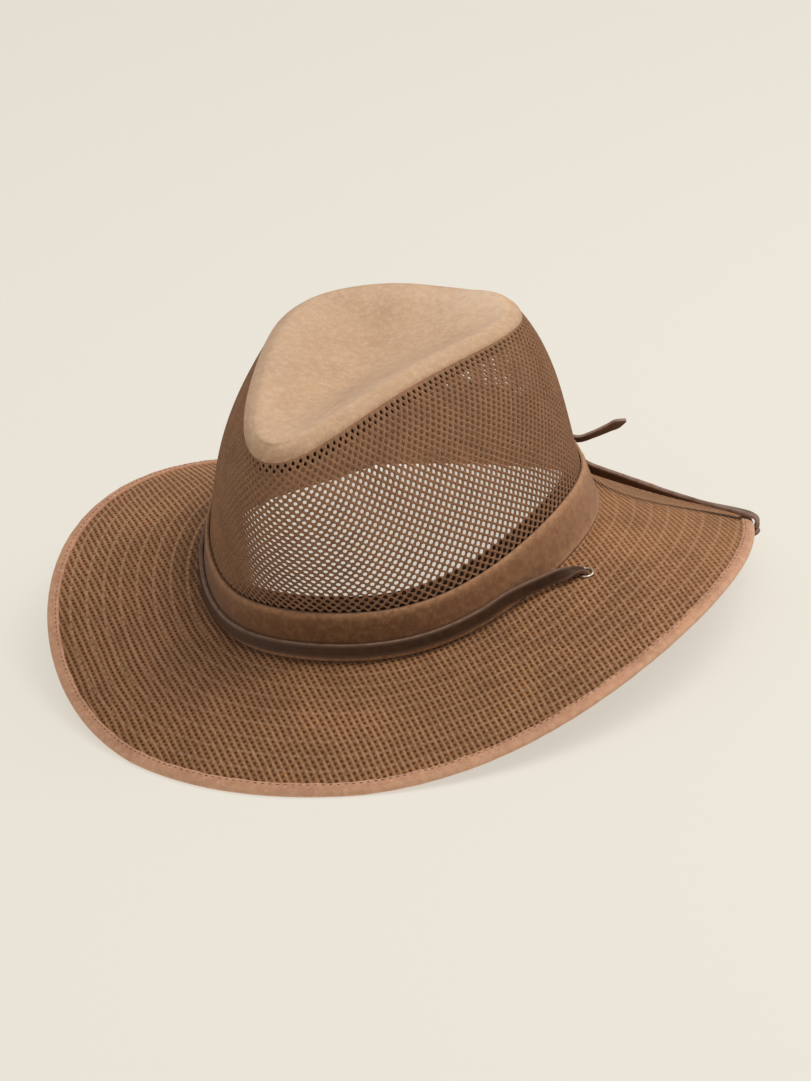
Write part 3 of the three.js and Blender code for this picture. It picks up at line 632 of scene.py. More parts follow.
# Painted light on the side the light falls on, and painted shade on the front.
painted_light_side = BAND_PAINTED_LIGHT * np.maximum(0, np.cos(round_angles - BAND_PAINTED_LIGHT_AT)) ** 2
painted_shade_front = BAND_PAINTED_SHADE * np.maximum(0, np.cos(round_angles - BAND_PAINTED_SHADE_AT)) ** 4
band_rings = [set_down(wall(round_angles, s, inset)) for s, inset, _ in BAND_SECTION]
hat_band = mesh_object("hat_band_suede", band_rings, ring_faces(len(band_rings), SMOOTH_ROUND), band_material,
                       {"wear_and_light": np.add.outer([BAND_WORN * wear for _, _, wear in BAND_SECTION], painted_light_side),
                        "shaded": np.tile(painted_shade_front, len(band_rings))})
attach(hat_band, "root")
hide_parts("hat_band")


# Brim
# The same net laid over a stiff cloth and quilted to it in rings of pale stitching. The front dips, the
# sides lift and the back falls steeply; it is pressed flat where it meets the table.
BRIM = {"thick": 0.0016, "inner": 0.0024, "edge_in": 0.0016, "bow": 0.4, "back_bow": -0.55,
        "bow_from": math.radians(98), "bow_to": math.radians(142), "rings": 61}
EDGE = {"mean": -0.0202, "c1": 0.0132, "c2": -0.0136, "s1": -0.0024, "s2": 0.0013, "width": 0.070,
        "w1": 0.0042, "w2": -0.0006, "corner": 0.0032, "at": math.radians(119), "spread": math.radians(15)}
BOUND_EDGE = [
    # outline of the brim's bound edge: distance in from the edge, height over the brim's middle
    (0.0062, 0.00115), (0.0062, 0.0019), (0.0036, 0.0020), (0.0012, 0.0019), (0.0003, 0.0012), (0, 0),
    (0.0003, -0.0012), (0.0012, -0.0019), (0.0036, -0.0020), (0.0062, -0.0019), (0.0062, -0.00115),
    (0.00125, -0.00115), (0.00125, 0.00115),
]
PRESSED_FLAT, LOW_COUNT = 0.0008, 60
STITCH_ROWS, STITCH_TURNS, NET_SIDE = 0.0077, 190.0, 0.00262
BRIM_TONES = {"Strand": (0.270, 0.119, 0.046, 1), "Pale": (0.450, 0.240, 0.116, 1),
              "Hole": (0.082, 0.027, 0.008, 1), "Thread": (0.45, 0.255, 0.145, 1)}
# Marks on the brim: place round the brim in degrees, spread in degrees, strength. The fuzzy and sewn marks
# are marks of use; the paler marks at the two sides are painted light, and the dark mark by the crown at the
# wearer's right is painted shade.
FUZZY_LEFT, PAINTED_SHADE_RIGHT = (110, 26, 1.0), (-75, 45, 0.38)
PAINTED_LIGHT_LEFT, PAINTED_LIGHT_RIGHT = (105, 30, 0.20), (-105, 38, 0.30)
SEWN_LEFT, SEWN_RIGHT, SEWN_ELSEWHERE = (90, 40, 0.24), (-80, 45, 0.40), 0.34
PAINTED_LIGHT_FROM, PAINTED_SHADE_UNTIL = 0.03, 0.014


def wrapped(a):
    return np.arctan2(np.sin(a), np.cos(a))


def slant(a):
    """Width of the brim along its slope."""
    return EDGE["width"] + EDGE["w1"] * np.cos(a) + EDGE["w2"] * np.cos(2 * a)


def edge_drop(a):
    """Height of the brim's edge over the crown's foot, before it is pressed flat."""
    corner = EDGE["corner"] * hump(wrapped(a - EDGE["at"]), 0, EDGE["spread"])
    return (EDGE["mean"] + EDGE["c1"] * np.cos(a) + EDGE["c2"] * np.cos(2 * a) + EDGE["s1"] * np.sin(a)
            + EDGE["s2"] * np.sin(2 * a) + corner)


def brim_point(a, f, lift):
    """The brim: f runs 0 at the crown's foot to 1 at the edge."""
    k = np.clip((np.abs(wrapped(a)) - BRIM["bow_from"]) / (BRIM["bow_to"] - BRIM["bow_from"]), 0, 1)
    bow = BRIM["bow"] + (BRIM["back_bow"] - BRIM["bow"]) * k * k * (3 - 2 * k)
    reach = np.sqrt(slant(a) ** 2 - edge_drop(a) ** 2)
    out = np.maximum(0, f)
    fall = (edge_drop(a) + lift) * ((1 - bow) * out + bow * out * out)
    return foot(a) + level_normal(foot, a) * (f * reach)[..., None] + vectors(0 * fall, 0 * fall, fall)


def brim_normal(a, f, lift):
    e = SLOPE_STEP
    along = brim_point(a + e, f, lift(a + e)) - brim_point(a - e, f, lift(a - e))
    outward = brim_point(a, f + e, lift(a)) - brim_point(a, f - e, lift(a))
    n = unit(np.cross(outward, along))
    return np.where(n[..., 2:] < 0, -n, n)


def brim_surface(a, f, up, lift=None):
    """A point over the brim's upper face."""
    a, f = np.broadcast_arrays(np.asarray(a, float), np.asarray(f, float))
    lift = lift_at if lift is None else lift
    return brim_point(a, f, lift(a)) + brim_normal(a, f, lift) * np.asarray(up, float)[..., None]


def from_edge(a, inward, up, lift=None):
    """A point at a distance in from the brim's edge and a height over the brim's middle."""
    f = 1 - np.asarray(inward) / slant(np.asarray(a))
    return brim_surface(a, f, np.asarray(up) - BRIM["thick"] / 2, lift)


low_angles = np.arange(LOW_COUNT) * 2 * math.pi / LOW_COUNT
hanging = np.stack([from_edge(low_angles, inward, up, np.zeros_like) for inward, up in BOUND_EDGE])
lows = (hanging[..., 1] * math.sin(LEAN) + hanging[..., 2] * math.cos(LEAN)).min(0)


def lift_at(a):
    """How far the edge is pushed up where it meets the table."""
    t = (np.asarray(a) / (2 * math.pi)) % 1 * LOW_COUNT
    i = np.floor(t).astype(int) % LOW_COUNT
    k = t - np.floor(t)
    low = lows[i] * (1 - k) + lows[(i + 1) % LOW_COUNT] * k
    return np.maximum(0, FLOOR_LEVEL - PRESSED_FLAT - low) / math.cos(LEAN)


brim_shares = np.linspace(0, 1, BRIM["rings"])
brim_start, brim_end = -BRIM["inner"] / slant(round_angles), 1 - BRIM["edge_in"] / slant(round_angles)
brim_rings, brim_outward = [], []
for up, shares in ((0.0, brim_shares), (-BRIM["thick"], brim_shares[::-1])):
    for share in shares:
        f = brim_start + (brim_end - brim_start) * share
        brim_rings.append(set_down(brim_surface(round_angles, f, up)))
        brim_outward.append(f * slant(round_angles))
brim_outward = np.concatenate(brim_outward)
brim_turn = np.tile(round_angles, len(brim_rings))


def mark(degrees, spread, strength):
    return strength * hump(wrapped(brim_turn - math.radians(degrees)), 0, math.radians(spread))


# Painted light and shade: paler far out at both sides, darker next to the crown at the wearer's right.
brim_painted_lighting = (1 + mark(*PAINTED_LIGHT_RIGHT) * np.clip(brim_outward / PAINTED_LIGHT_FROM, 0, 1) + mark(*PAINTED_LIGHT_LEFT)
              - mark(*PAINTED_SHADE_RIGHT) * hump(brim_outward, 0, PAINTED_SHADE_UNTIL))

# Net over cloth: two sets of crossing strands, dark holes between them, and rings of stitching
BRIM_MASKS = ("Outward", "Turn", "Fuzzy", "Painted_lighting", "Sewn")
quilt, quilt_in, quilt_out = new_effect(
    "net_over_cloth", {**dict.fromkeys(BRIM_TONES, "Color"), **dict.fromkeys(BRIM_MASKS, "Float")},
    {"Colour": "Color", "Height": "Float"})


def plus(a, b):
    return maths(quilt, "ADD", a, b)


def minus(a, b):
    return maths(quilt, "SUBTRACT", a, b)


def times(a, b):
    return maths(quilt, "MULTIPLY", a, b)


def cosine(a):
    return maths(quilt, "COSINE", a)


quilt_place = own_place(quilt)
plan = add_node(quilt, "ShaderNodeSeparateXYZ", {0: quilt_place}).outputs
drift = times(minus(noise(quilt, quilt_place, scale=28.0, detail=2.0), 0.5), 0.0040)
diagonal = 2 * math.pi / NET_SIDE / math.sqrt(2)
first_strands = cosine(times(plus(plus(plan[0], plan[1]), drift), diagonal))
second_strands = cosine(times(plus(minus(plan[0], plan[1]), drift), diagonal))
ribs, cross_ribs = times(minus(1.0, first_strands), 0.5), times(minus(1.0, second_strands), 0.36)
specks = noise(quilt, quilt_place, scale=640.0, detail=2.0)
hole_shape = plus(times(minus(specks, 0.5), 1.6), plus(first_strands, times(second_strands, 0.5)))
hole_open = remap(quilt, hole_shape, (0.15, 1.2), (0.0, 1.0), "SMOOTHSTEP")
hole_mask = times(hole_open, minus(1.0, times(quilt_in["Fuzzy"], 0.55)))
row_phase = times(quilt_in["Outward"], 2 * math.pi / STITCH_ROWS)
row_wave = plus(cosine(times(row_phase, 2.0)), times(cosine(row_phase), 0.35))
row_mask = remap(quilt, row_wave, (0.25, 1.15), (0.0, 1.0), "SMOOTHSTEP")
dash_wave = maths(quilt, "SINE", times(quilt_in["Turn"], STITCH_TURNS))
dashes = remap(quilt, dash_wave, (-0.9, 0.1), (0.35, 1.0))
thread_mask = times(times(row_mask, dashes), quilt_in["Sewn"])
pale_ribs = remap(quilt, plus(ribs, times(specks, 1.6)), (1.35, 2.1), (0.0, 0.95))
strands = mix(quilt, pale_ribs, quilt_in["Strand"], quilt_in["Pale"])
patchy = remap(quilt, noise(quilt, quilt_place, scale=45.0, detail=4.0), (0.3, 0.7), (0.80, 1.14))
# Random patches of tone, times the painted light and shade stored on the mesh.
tone = times(patchy, quilt_in["Painted_lighting"])
tones = add_node(quilt, "ShaderNodeCombineXYZ", {0: tone, 1: tone, 2: tone}).outputs[0]
toned = add_node(quilt, "ShaderNodeVectorMath", {0: strands, 1: tones}, operation="MULTIPLY").outputs[0]
holed = mix(quilt, hole_mask, toned, quilt_in["Hole"])
fibres = noise(quilt, quilt_place, scale=1400.0, detail=3.0)
weave = plus(maths(quilt, "MAXIMUM", ribs, cross_ribs), times(fibres, 0.22))
feed(quilt, quilt_out, {"Colour": mix(quilt, thread_mask, holed, quilt_in["Thread"]),
                        "Height": minus(weave, times(row_mask, 0.25))})

brim_material, brim_tree, brim_shader = new_material("brim_net_over_cloth")
brim_masks = {name: stored(brim_tree, name.lower()) for name in BRIM_MASKS}
brim_quilt = place_effect(brim_tree, quilt, {**BRIM_TONES, **brim_masks})
feed(brim_tree, brim_shader, {"Base Color": brim_quilt["Colour"],
                              "Normal": bump(brim_tree, brim_quilt["Height"], strength=0.85, deep=0.0007),
                              "Roughness": 0.85, "Specular IOR Level": 0.3})
brim = mesh_object("brim_quilted", brim_rings, ring_faces(len(brim_rings), SMOOTH_ROUND), brim_material,
                   {"outward": brim_outward, "turn": brim_turn, "painted_lighting": brim_painted_lighting,
                    "fuzzy": mark(*FUZZY_LEFT),
                    "sewn": SEWN_ELSEWHERE + mark(*SEWN_RIGHT) + mark(*SEWN_LEFT)})
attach(brim, "root")
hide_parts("brim")


# Binding
# A strip of tan suede, folded over the brim's edge and sewn through both faces with one row of stitches.
# It puckers a little along its cut edges and is rubbed pale along the fold.
BINDING_ROUND, BINDING_WORN = 480, 0.7
BINDING_SECTION = [
    # distance in from the edge, height over the brim's middle, rubbed, shaded
    (0.0056, 0.00090, 0.0, 0.2), (0.0055, 0.00150, 0.3, 0.0), (0.0050, 0.00188, 0.3, 0.0),
    (0.0044, 0.00196, 0.1, 0.0), (0.0034, 0.00205, 0.0, 0.0), (0.0022, 0.00200, 0.1, 0.0),
    (0.0012, 0.00175, 0.5, 0.0), (0.0004, 0.00115, 0.8, 0.0), (0.0000, 0.00040, 1.0, 0.0),
    (0.0000, -0.00040, 0.9, 0.0), (0.0004, -0.00115, 0.6, 0.1), (0.0012, -0.00175, 0.3, 0.2),
    (0.0022, -0.00200, 0.0, 0.3), (0.0036, -0.00205, 0.0, 0.3), (0.0048, -0.00196, 0.0, 0.3),
    (0.0056, -0.00192, 0.0, 0.3), (0.0062, -0.00150, 0.0, 0.4), (0.0064, -0.00090, 0.0, 0.6),
]
PUCKERS = ((0.00010, 97, 0.0), (0.00008, 41, 1.0))
PUCKER_FROM, PUCKER_UP = 0.003, 0.6
SUEDE_EDGE = {"Colour": (0.56, 0.285, 0.165, 1), "Dark": (0.33, 0.155, 0.085, 1),
              "Pale": (0.74, 0.44, 0.28, 1)}
binding_angles = np.arange(BINDING_ROUND) * 2 * math.pi / BINDING_ROUND
binding_material = suede_material("binding_suede", SUEDE_EDGE, mottle=1.0, strength=0.5)
pucker = sum(deep * np.sin(binding_angles * waves + start) for deep, waves, start in PUCKERS)
binding_rings = [set_down(from_edge(binding_angles, inward + pucker * (inward > PUCKER_FROM),
                                    up + np.sign(up) * pucker * PUCKER_UP))
                 for inward, up, _, _ in BINDING_SECTION]
binding = mesh_object("brim_binding_suede", binding_rings, ring_faces(len(binding_rings), BINDING_ROUND),
                      binding_material,
                      {"wear_and_light": np.repeat([BINDING_WORN * row[2] for row in BINDING_SECTION], BINDING_ROUND),
                       "shaded": np.repeat([row[3] for row in BINDING_SECTION], BINDING_ROUND)})
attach(binding, "root")
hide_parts("brim_binding")

# Stitches: short brown threads on each face, their ends sunk into the suede
STITCH = {"count": 330, "inward": 0.0043, "long": 0.0017, "thick": 0.00045, "round": 6}
STITCH_FACES = ((1, 0.00197), (-1, 0.00200))
STITCH_RINGS = [
    # share of the half length, share of the thickness, height
    (-1.0, 0.3, -0.0004), (-0.7, 0.85, 0.0), (0.0, 1.0, 0.0001), (0.7, 0.85, 0.0), (1.0, 0.3, -0.0004),
]
STITCH_COLOUR, ACROSS_STEP = (0.235, 0.115, 0.062, 1), 0.001
stitch_angles = np.arange(STITCH["count"]) * 2 * math.pi / STITCH["count"]
stitch_points, stitch_faces = [], []
for face_side, surface in STITCH_FACES:
    seats, inner_seats = [from_edge(stitch_angles, inward, face_side * surface)
                          for inward in (STITCH["inward"], STITCH["inward"] + ACROSS_STEP)]
    runs = unit(np.roll(seats, -1, axis=0) - np.roll(seats, 1, axis=0))
    across = unit(inner_seats - seats)
    raised = unit(np.cross(runs, across)) * face_side
    raised *= np.sign((raised * np.array([0, 0, face_side])).sum(1))[:, None]
    for seat, run, side_way, up_way in zip(seats, runs, across, raised):
        first_point, sides = len(stitch_points), STITCH["round"]
        for along, share, sink in STITCH_RINGS:
            middle, reach = seat + run * (along * STITCH["long"] / 2), share * STITCH["thick"] / 2
            for j in range(sides):
                b = 2 * math.pi * j / sides
                stitch_points.append(middle + side_way * (math.cos(b) * reach)
                                     + up_way * (math.sin(b) * reach + sink))
        for k in range(len(STITCH_RINGS) - 1):
            for j in range(sides):
                a0, a1 = first_point + k * sides + j, first_point + k * sides + (j + 1) % sides
                stitch_faces.append((a0, a1, a1 + sides, a0 + sides))
        stitch_faces.append(tuple(range(first_point, first_point + sides))[::-1])
        stitch_faces.append(tuple(range(len(stitch_points) - sides, len(stitch_points))))
stitch_material, stitch_tree, stitch_shader = new_material("brown_thread")
feed(stitch_tree, stitch_shader, {"Base Color": STITCH_COLOUR, "Roughness": 0.75})
binding_stitches = mesh_object("binding_stitches", set_down(np.array(stitch_points)), stitch_faces,
                               stitch_material)
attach(binding_stitches, "root")


# Eyelets
# Two small rings of aged metal, one at each side, pressed through a punched hole in the brim and rolled
# over on both faces. The lace runs through them.
EYELET = {"angle": 96, "out": 0.0123, "round": 40}
EYELET_SECTION = [
    # radius, height over the brim's middle
    (0.00240, 0.0011), (0.00255, 0.00150), (0.00290, 0.00172), (0.00335, 0.00168), (0.00370, 0.00145),
    (0.00385, 0.00110), (0.00290, 0.00105), (0.00290, -0.00105), (0.00385, -0.00110), (0.00370, -0.00145),
    (0.00335, -0.00168), (0.00290, -0.00172), (0.00255, -0.00150), (0.00240, -0.0011),
]
PUNCH_RADIUS, PUNCH_HALF = 0.0031, 0.006
LACE_MIDDLE, LACE_LEAVES = -16, 78
METAL, METAL_TARNISHED = (0.66, 0.58, 0.46, 1), (0.36, 0.29, 0.21, 1)
eyelet_material, eyelet_tree, eyelet_shader = new_material("aged_eyelet_metal")
tarnish = noise(eyelet_tree, own_place(eyelet_tree), scale=900.0, detail=4.0)
tarnish_mask = remap(eyelet_tree, tarnish, (0.4, 0.65), (0.0, 1.0))
feed(eyelet_tree, eyelet_shader, {"Base Color": mix(eyelet_tree, tarnish_mask, METAL, METAL_TARNISHED),
                                  "Roughness": remap(eyelet_tree, tarnish, (0.35, 0.7), (0.28, 0.55)),
                                  "Metallic": 1.0})


def lace_angle(side, half):
    """The lace, its eyelets and its tie mirror each other about a line set a little round to the right."""
    return np.array(math.radians(LACE_MIDDLE + side * half))


def eyelet_place_at(side):
    """Middle and normal of an eyelet's hole, in the hat's own frame."""
    a, f = lace_angle(side, EYELET["angle"]), np.array(EYELET["out"] / EDGE["width"])
    return brim_surface(a, f, -BRIM["thick"] / 2), brim_normal(a, f, lift_at)


for side, side_name in ((1, "left"), (-1, "right")):
    centre, normal = eyelet_place_at(side)
    across = unit(np.cross(normal, (0, 1, 0)))
    along = np.cross(normal, across)
    b = np.arange(EYELET["round"]) * 2 * math.pi / EYELET["round"]
    circle = np.cos(b)[:, None] * across + np.sin(b)[:, None] * along
    rings = [set_down(centre + circle * r + normal * h) for r, h in EYELET_SECTION]
    eyelet = mesh_object(f"eyelet_{side_name}", rings, ring_faces(len(rings), EYELET["round"]),
                         eyelet_material)
    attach(eyelet, "root")
    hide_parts(f"lace_eyelet_{side_name}")
    punch_rings = [set_down(centre + circle * PUNCH_RADIUS + normal * h) for h in (PUNCH_HALF, -PUNCH_HALF)]
    punch_ends = [list(range(EYELET["round"]))[::-1], list(range(EYELET["round"], 2 * EYELET["round"]))]
    punch_faces = ring_faces(2, EYELET["round"], closed_section=False) + punch_ends
    punch = mesh_object("punch", punch_rings, punch_faces, brim_material)
    cut = brim.modifiers.new("eyelet_hole", "BOOLEAN")
    cut.object, cut.operation, cut.solver = punch, "DIFFERENCE", "EXACT"
    bpy.context.view_layer.objects.active = brim
    bpy.ops.object.modifier_apply(modifier=cut.name)
    bpy.data.objects.remove(punch)


# Chin lace
# One flat strip of dark leather: round the crown's front, down through both eyelets, under the brim, up over
# its edge and back to the crown, where the ends are tied. A painted grey sheen lies on its smooth upper face.
LACE = {"wide": 0.0060, "thick": 0.0020, "gap": 0.00055, "height": 0.0057, "steps": 8, "front_stations": 21}
INTO_EYELET = [
    # distance along from the hole, height over it, share turned from upright to flat, width
    (-0.017, 0.0053, 0.0, 0.006), (-0.0105, 0.0049, 0.35, 0.0056), (-0.0054, 0.0044, 0.75, 0.0044),
    (-0.0020, 0.0034, 1.0, 0.0036), (-0.0004, 0.0018, 1.0, 0.0034), (0.0, 0.0, 1.0, 0.0034),
]
OUT_BELOW = [
    # distance out from the hole, height over it, width
    (0.0003, -0.0019, 0.0034), (0.0020, -0.0033, 0.0038),
]
WRAP_ANGLE, WRAP_WIDE = 129, 0.0056
UNDER_SHARES, UNDER_SHORT = (0.14, 0.3, 0.46, 0.62, 0.78), 2.6
UNDER_TURN_POWER, UNDER_OUT_POWER = 0.8, 1.25
UNDER_UP, UNDER_UP_AT_BINDING, BINDING_FROM = -0.00235, -0.0030, 0.016
WRAP_ROWS = [
    # distance in from the edge, height over the brim's middle, turn along the edge in degrees
    (0.0082, -0.0036, -2.2), (0.0045, -0.00375, -1.4), (0.0010, -0.0037, -0.7), (-0.0013, -0.0027, -0.3),
    (-0.0014, -0.0011, 0), (-0.0014, 0.0011, 0), (-0.0008, 0.0028, 0.3), (0.0009, 0.0035, 0.8),
    (0.0056, 0.0041, 1.8),
]
FREE_SHARES, FREE_SAG, FREE_WIDE = (0.25, 0.5, 0.75), 0.0016, 0.0062
BEHIND_LEFT = [
    # angle, height over the foot line, distance out from the band, width
    (137, 0.0042, 0, 0.006), (142, 0.0046, 0, 0.006), (147, 0.0057, 0.0006, 0.0052),
    (152, 0.0072, 0.0016, 0.0044), (157, 0.0083, 0.0021, 0.004), (164, 0.0083, 0.0021, 0.004),
    (170, 0.0083, 0.0021, 0.004), (175, 0.0086, 0.0036, 0.0044), (180, 0.0092, 0.0075, 0.005),
    (185, 0.0086, 0.013, 0.005), (189, 0.0066, 0.019, 0.0054), (192, 0.0046, 0.024, 0.0014),
]
BEHIND_RIGHT = [
    (191, 0.0042, 0, 0.006), (184, 0.0041, 0.0005, 0.0052), (177, 0.0038, 0.0016, 0.0044),
    (171, 0.0037, 0.0021, 0.004), (164, 0.0037, 0.0021, 0.004), (158, 0.0037, 0.0021, 0.004),
]
RIGHT_TAIL = [
    # place in the hat's own frame, width
    (0.0440, 0.0990, 0.0034, 0.0034), (0.0515, 0.1010, 0.0054, 0.0034), (0.0585, 0.1034, 0.0082, 0.0040),
    (0.0625, 0.1047, 0.0099, 0.0046), (0.0665, 0.1060, 0.0114, 0.0012),
]
LACE_SECTION = [
    # share of the half width, share of the half thickness, paleness of the edge from wear and painted
    # highlight
    (1.0, -0.45, 1.1), (1.0, 0.45, 1.1), (0.94, 0.80, 1.3), (0.82, 0.97, 0.5), (0.45, 1.0, 0.0),
    (0.0, 1.0, 0.0), (-0.45, 1.0, 0.0), (-0.82, 0.97, 0.5), (-0.94, 0.80, 1.3), (-1.0, 0.45, 1.1),
    (-1.0, -0.45, 1.1),
    (-0.94, -0.80, 1.3), (-0.82, -0.97, 0.5), (-0.45, -1.0, 0.0), (0.0, -1.0, 0.0), (0.45, -1.0, 0.0),
    (0.82, -0.97, 0.5), (0.94, -0.80, 1.3),
]
# The worn-and-lit colour serves worn edges and painted light; the sheen colour is a painted grey highlight.
LEATHER, LEATHER_WORN_AND_LIT = (0.064, 0.028, 0.012, 1), (0.26, 0.155, 0.105, 1)
LEATHER_DARK, LEATHER_SHEEN = (0.028, 0.011, 0.005, 1), (0.40, 0.295, 0.245, 1)


def on_band(degrees, height, out=0.0, wide=LACE["wide"]):
    """A station of the lace lying on the band: its middle, the way its width points, and its width."""
    a, s = np.array(math.radians(degrees)), height / BAND_HEIGHT
    middle = wall(a, s, np.array(-(LACE["gap"] + LACE["thick"] / 2) - out))
    return middle, unit(wall_point(a, s + 0.05) - wall_point(a, s - 0.05)), wide


def lace_side(side):
    """Stations of one half of the lace, from where it leaves the band in front to its tail."""
    start, upright_way, _ = on_band(LACE_MIDDLE + side * LACE_LEAVES, LACE["height"])
    centre, normal = eyelet_place_at(side)
    travel = unit(centre - start)
    flat_way = unit(np.cross(normal, travel))
    flat_travel = unit(travel - normal * travel.dot(normal))
    stations = [(centre + flat_travel * along + normal * up,
                 unit(upright_way * (1 - share) + flat_way * share), wide)
                for along, up, share, wide in INTO_EYELET]
    edge = from_edge(lace_angle(side, WRAP_ANGLE), 0.0, 0.0) - centre
    away = unit(edge - normal * edge.dot(normal))
    sideways = unit(np.cross(normal, away))
    stations += [(centre + away * along + normal * up, sideways, wide) for along, up, wide in OUT_BELOW]
    for k in UNDER_SHARES:
        under_turn = (WRAP_ANGLE - UNDER_SHORT - EYELET["angle"]) * k ** UNDER_TURN_POWER
        a = lace_angle(side, EYELET["angle"] + under_turn)
        inward = (EDGE["width"] - EYELET["out"]) * (1 - k ** UNDER_OUT_POWER)
        up = UNDER_UP_AT_BINDING if inward < BINDING_FROM else UNDER_UP
        stations.append((from_edge(a, inward, up), None, WRAP_WIDE, brim_normal(a, np.array(0.5), lift_at)))
    ends = [from_edge(lace_angle(side, WRAP_ANGLE + d), 0.0, 0.0) for d in (1, -1)]
    tangent = unit(ends[0] - ends[1])
    stations += [(from_edge(lace_angle(side, WRAP_ANGLE + degrees), inward, up), tangent, WRAP_WIDE)
                 for inward, up, degrees in WRAP_ROWS]
    rows = BEHIND_LEFT if side > 0 else BEHIND_RIGHT
    first, last = on_band(*rows[0]), stations[-1][0]
    turned = tangent * (-1 if tangent.dot(first[1]) < 0 else 1)
    for k in FREE_SHARES:
        sag = np.array([0, 0, -FREE_SAG]) * math.sin(math.pi * k)
        free_way = unit(turned * (1 - k) + first[1] * k)
        stations.append((last * (1 - k) + first[0] * k + sag, free_way, FREE_WIDE))
    stations += [on_band(*row) for row in rows]
    if side < 0:
        stations += [(np.array(row[:3]), stations[-1][1], row[3]) for row in RIGHT_TAIL]
    return stations


front_shares = np.linspace(1, -1, LACE["front_stations"])
front_stretch = [on_band(LACE_MIDDLE + LACE_LEAVES * share, LACE["height"]) for share in front_shares]
stations = lace_side(1)[::-1] + front_stretch + lace_side(-1)
middles, widths = np.array([st[0] for st in stations]), np.array([st[2] for st in stations])
ways = []
for i, st in enumerate(stations):
    run = unit(middles[min(len(middles) - 1, i + 1)] - middles[max(0, i - 1)])
    way = np.cross(st[3], run) if st[1] is None else st[1]
    way = unit(way - run * way.dot(run))
    ways.append(-way if ways and way.dot(ways[-1]) < 0 else way)
lace_middle, lace_way, lace_width = [smooth_rows(rows, LACE["steps"]) for rows in (middles, ways, widths)]
lace_run = unit(np.gradient(lace_middle, axis=0))
lace_way = unit(lace_way - lace_run * (lace_way * lace_run).sum(1, keepdims=True))
lace_face = np.cross(lace_run, lace_way)
lace_rings = np.stack([lace_middle + lace_way * (lace_width / 2 * x)[:, None]
                       + lace_face * (LACE["thick"] / 2 * y) for x, y, _ in LACE_SECTION], 1)
section_count = len(LACE_SECTION)
lace_faces = ring_faces(len(lace_rings), section_count, closed_section=False)
lace_faces += [list(range(section_count))[::-1],
               list(range((len(lace_rings) - 1) * section_count, len(lace_rings) * section_count))]

# Painted light on the lace: it is paler behind, at the front right, and most on the tail that stands free
lace_x, lace_y = lace_middle[:, 0], lace_middle[:, 1]
painted_light_back = np.clip((lace_y - 0.04) / 0.04, 0, 1)
painted_light_front = 0.35 * hump(np.arctan2(lace_x, -lace_y), -0.5, 0.5)
painted_light_tail = 1.2 * np.clip((lace_x - 0.042) / 0.02, 0, 1) * (lace_y > 0.08) * (lace_x < 0.07)
painted_lighting = painted_light_back + painted_light_front + painted_light_tail
lace_wear_and_light = np.add.outer(0.5 * painted_lighting, [row[2] for row in LACE_SECTION])
lace_painted_sheen = np.repeat(np.clip(0.45 * painted_lighting, 0, 0.5), section_count)

# Leather: fine grain, dark patches, worn edges that also carry painted light, and a painted grey sheen on
# faces that look up
lace_material, lace_tree, lace_shader = new_material("dark_leather_lace")
lace_place = own_place(lace_tree)
lace_cells = add_node(lace_tree, "ShaderNodeTexVoronoi", {"Vector": lace_place, "Scale": 1500.0})
lace_noise = noise(lace_tree, lace_place, scale=240.0, detail=5.0)
lace_patched = mix(lace_tree, remap(lace_tree, lace_noise, (0.35, 0.7), (0.0, 0.8)), LEATHER, LEATHER_DARK)
worn_and_lit_mask = maths(lace_tree, "MULTIPLY", stored(lace_tree, "worn_and_lit"),
                  maths(lace_tree, "MULTIPLY", lace_noise, 1.1))
lace_worn_and_lit = mix(lace_tree, worn_and_lit_mask, lace_patched, LEATHER_WORN_AND_LIT)
lace_normal = add_node(lace_tree, "ShaderNodeNewGeometry").outputs["Normal"]
lace_up = add_node(lace_tree, "ShaderNodeSeparateXYZ", {0: lace_normal}).outputs[2]
looks_up = remap(lace_tree, lace_up, (-0.15, 0.55), (0.0, 1.0))
sheen_streaks = remap(lace_tree, lace_noise, (0.3, 0.6), (0.45, 1.0))
sheen_mask = maths(lace_tree, "MULTIPLY", maths(lace_tree, "MULTIPLY", looks_up, sheen_streaks),
                  stored(lace_tree, "painted_sheen"))
lace_grain = maths(lace_tree, "MULTIPLY", lace_cells.outputs["Distance"], 0.5)
lace_height = maths(lace_tree, "ADD", lace_grain, lace_noise)
feed(lace_tree, lace_shader, {
    "Base Color": mix(lace_tree, sheen_mask, lace_worn_and_lit, LEATHER_SHEEN),
    "Roughness": remap(lace_tree, lace_noise, (0.3, 0.7), (0.45, 0.62)),
    "Normal": bump(lace_tree, lace_height, strength=0.35, deep=0.0003), "Specular IOR Level": 0.16})
chin_lace = mesh_object("chin_lace_leather", set_down(lace_rings), lace_faces, lace_material,
                        {"worn_and_lit": lace_wear_and_light, "painted_sheen": lace_painted_sheen})
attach(chin_lace, "root")
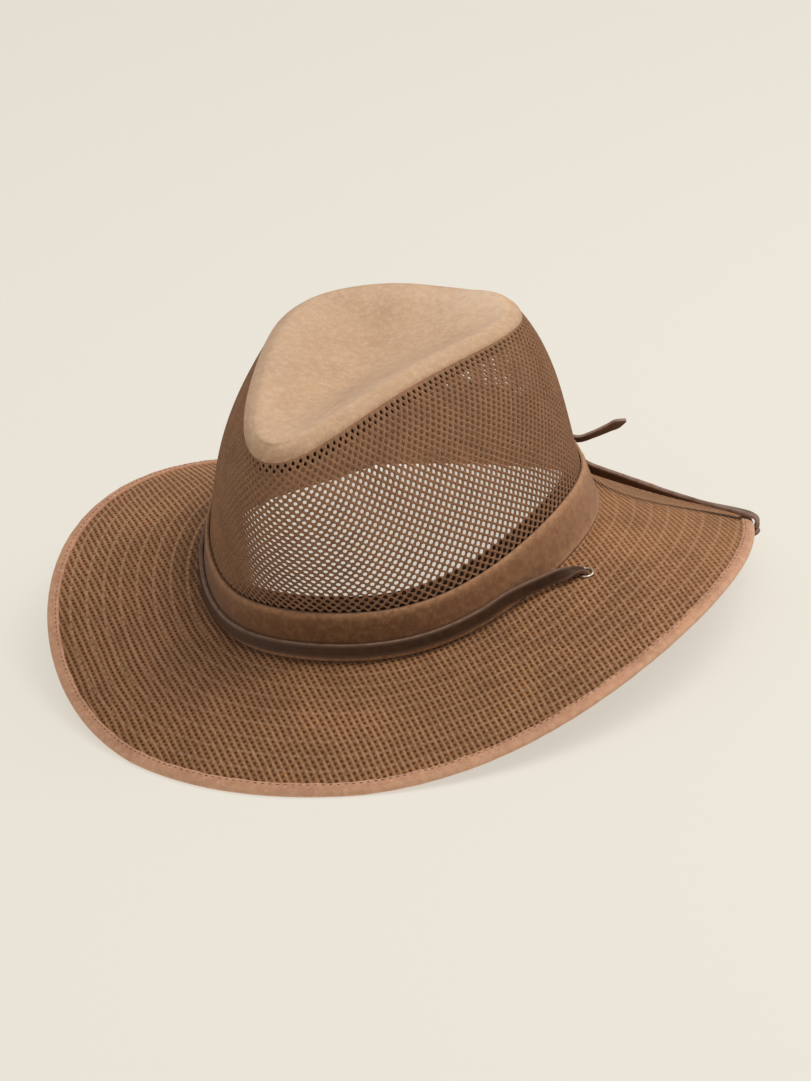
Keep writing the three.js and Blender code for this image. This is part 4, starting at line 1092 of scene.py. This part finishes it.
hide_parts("chin_lace")


# Tie
# A short turn of the same leather lace, drawn round the two ends behind the crown, that holds them
# together against the band.
KNOT = {"angle": 164, "height": 0.0060, "out": 0.0021, "half_tall": 0.0063, "half_deep": 0.00295,
        "wall": 0.0016, "long": 0.0060, "square": 0.55, "round": 48}
KNOT_SECTION = [
    # share of the half length, growth, inner face, worn
    (-1.0, -0.0006, 0, 0.9), (-0.86, -0.0001, 0, 0.9), (-0.6, 0.0001, 0, 0.2), (0.0, 0.0002, 0, 0.2),
    (0.6, 0.0001, 0, 0.2), (0.86, -0.0001, 0, 0.9), (1.0, -0.0006, 0, 0.9), (0.97, 0.0004, 1, 0.9),
    (0.0, 0.0, 1, 0.2), (-0.97, 0.0004, 1, 0.9),
]
knot_a = np.array(math.radians(KNOT["angle"]))
knot_middle, knot_up, _ = on_band(KNOT["angle"], KNOT["height"], KNOT["out"])
knot_along = unit(wall_point(knot_a + SLOPE_STEP, 0.3) - wall_point(knot_a - SLOPE_STEP, 0.3))
knot_out = unit(np.cross(knot_up, knot_along))
knot_turns = (np.arange(KNOT["round"]) + 0.5) * 2 * math.pi / KNOT["round"]


def squared(v):
    """A round section pressed toward a square one."""
    return np.sign(v) * np.abs(v) ** KNOT["square"]


knot_rings = []
for share, grow, inner, _ in KNOT_SECTION:
    tall, deep = [half - KNOT["wall"] * inner + grow for half in (KNOT["half_tall"], KNOT["half_deep"])]
    ring = (np.outer(tall * squared(np.sin(knot_turns)), knot_up)
            + np.outer(deep * squared(np.cos(knot_turns)), knot_out))
    knot_rings.append(set_down(knot_middle + ring + knot_along * (share * KNOT["long"] / 2)))
knot_wear = np.repeat([row[3] for row in KNOT_SECTION], KNOT["round"])
# The tie's worn ends also take a little of the painted grey sheen.
lace_knot = mesh_object("lace_tie", knot_rings, ring_faces(len(knot_rings), KNOT["round"]), lace_material,
                        {"worn_and_lit": knot_wear, "painted_sheen": 0.3 * knot_wear})
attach(lace_knot, "root")
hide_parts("lace_knot")
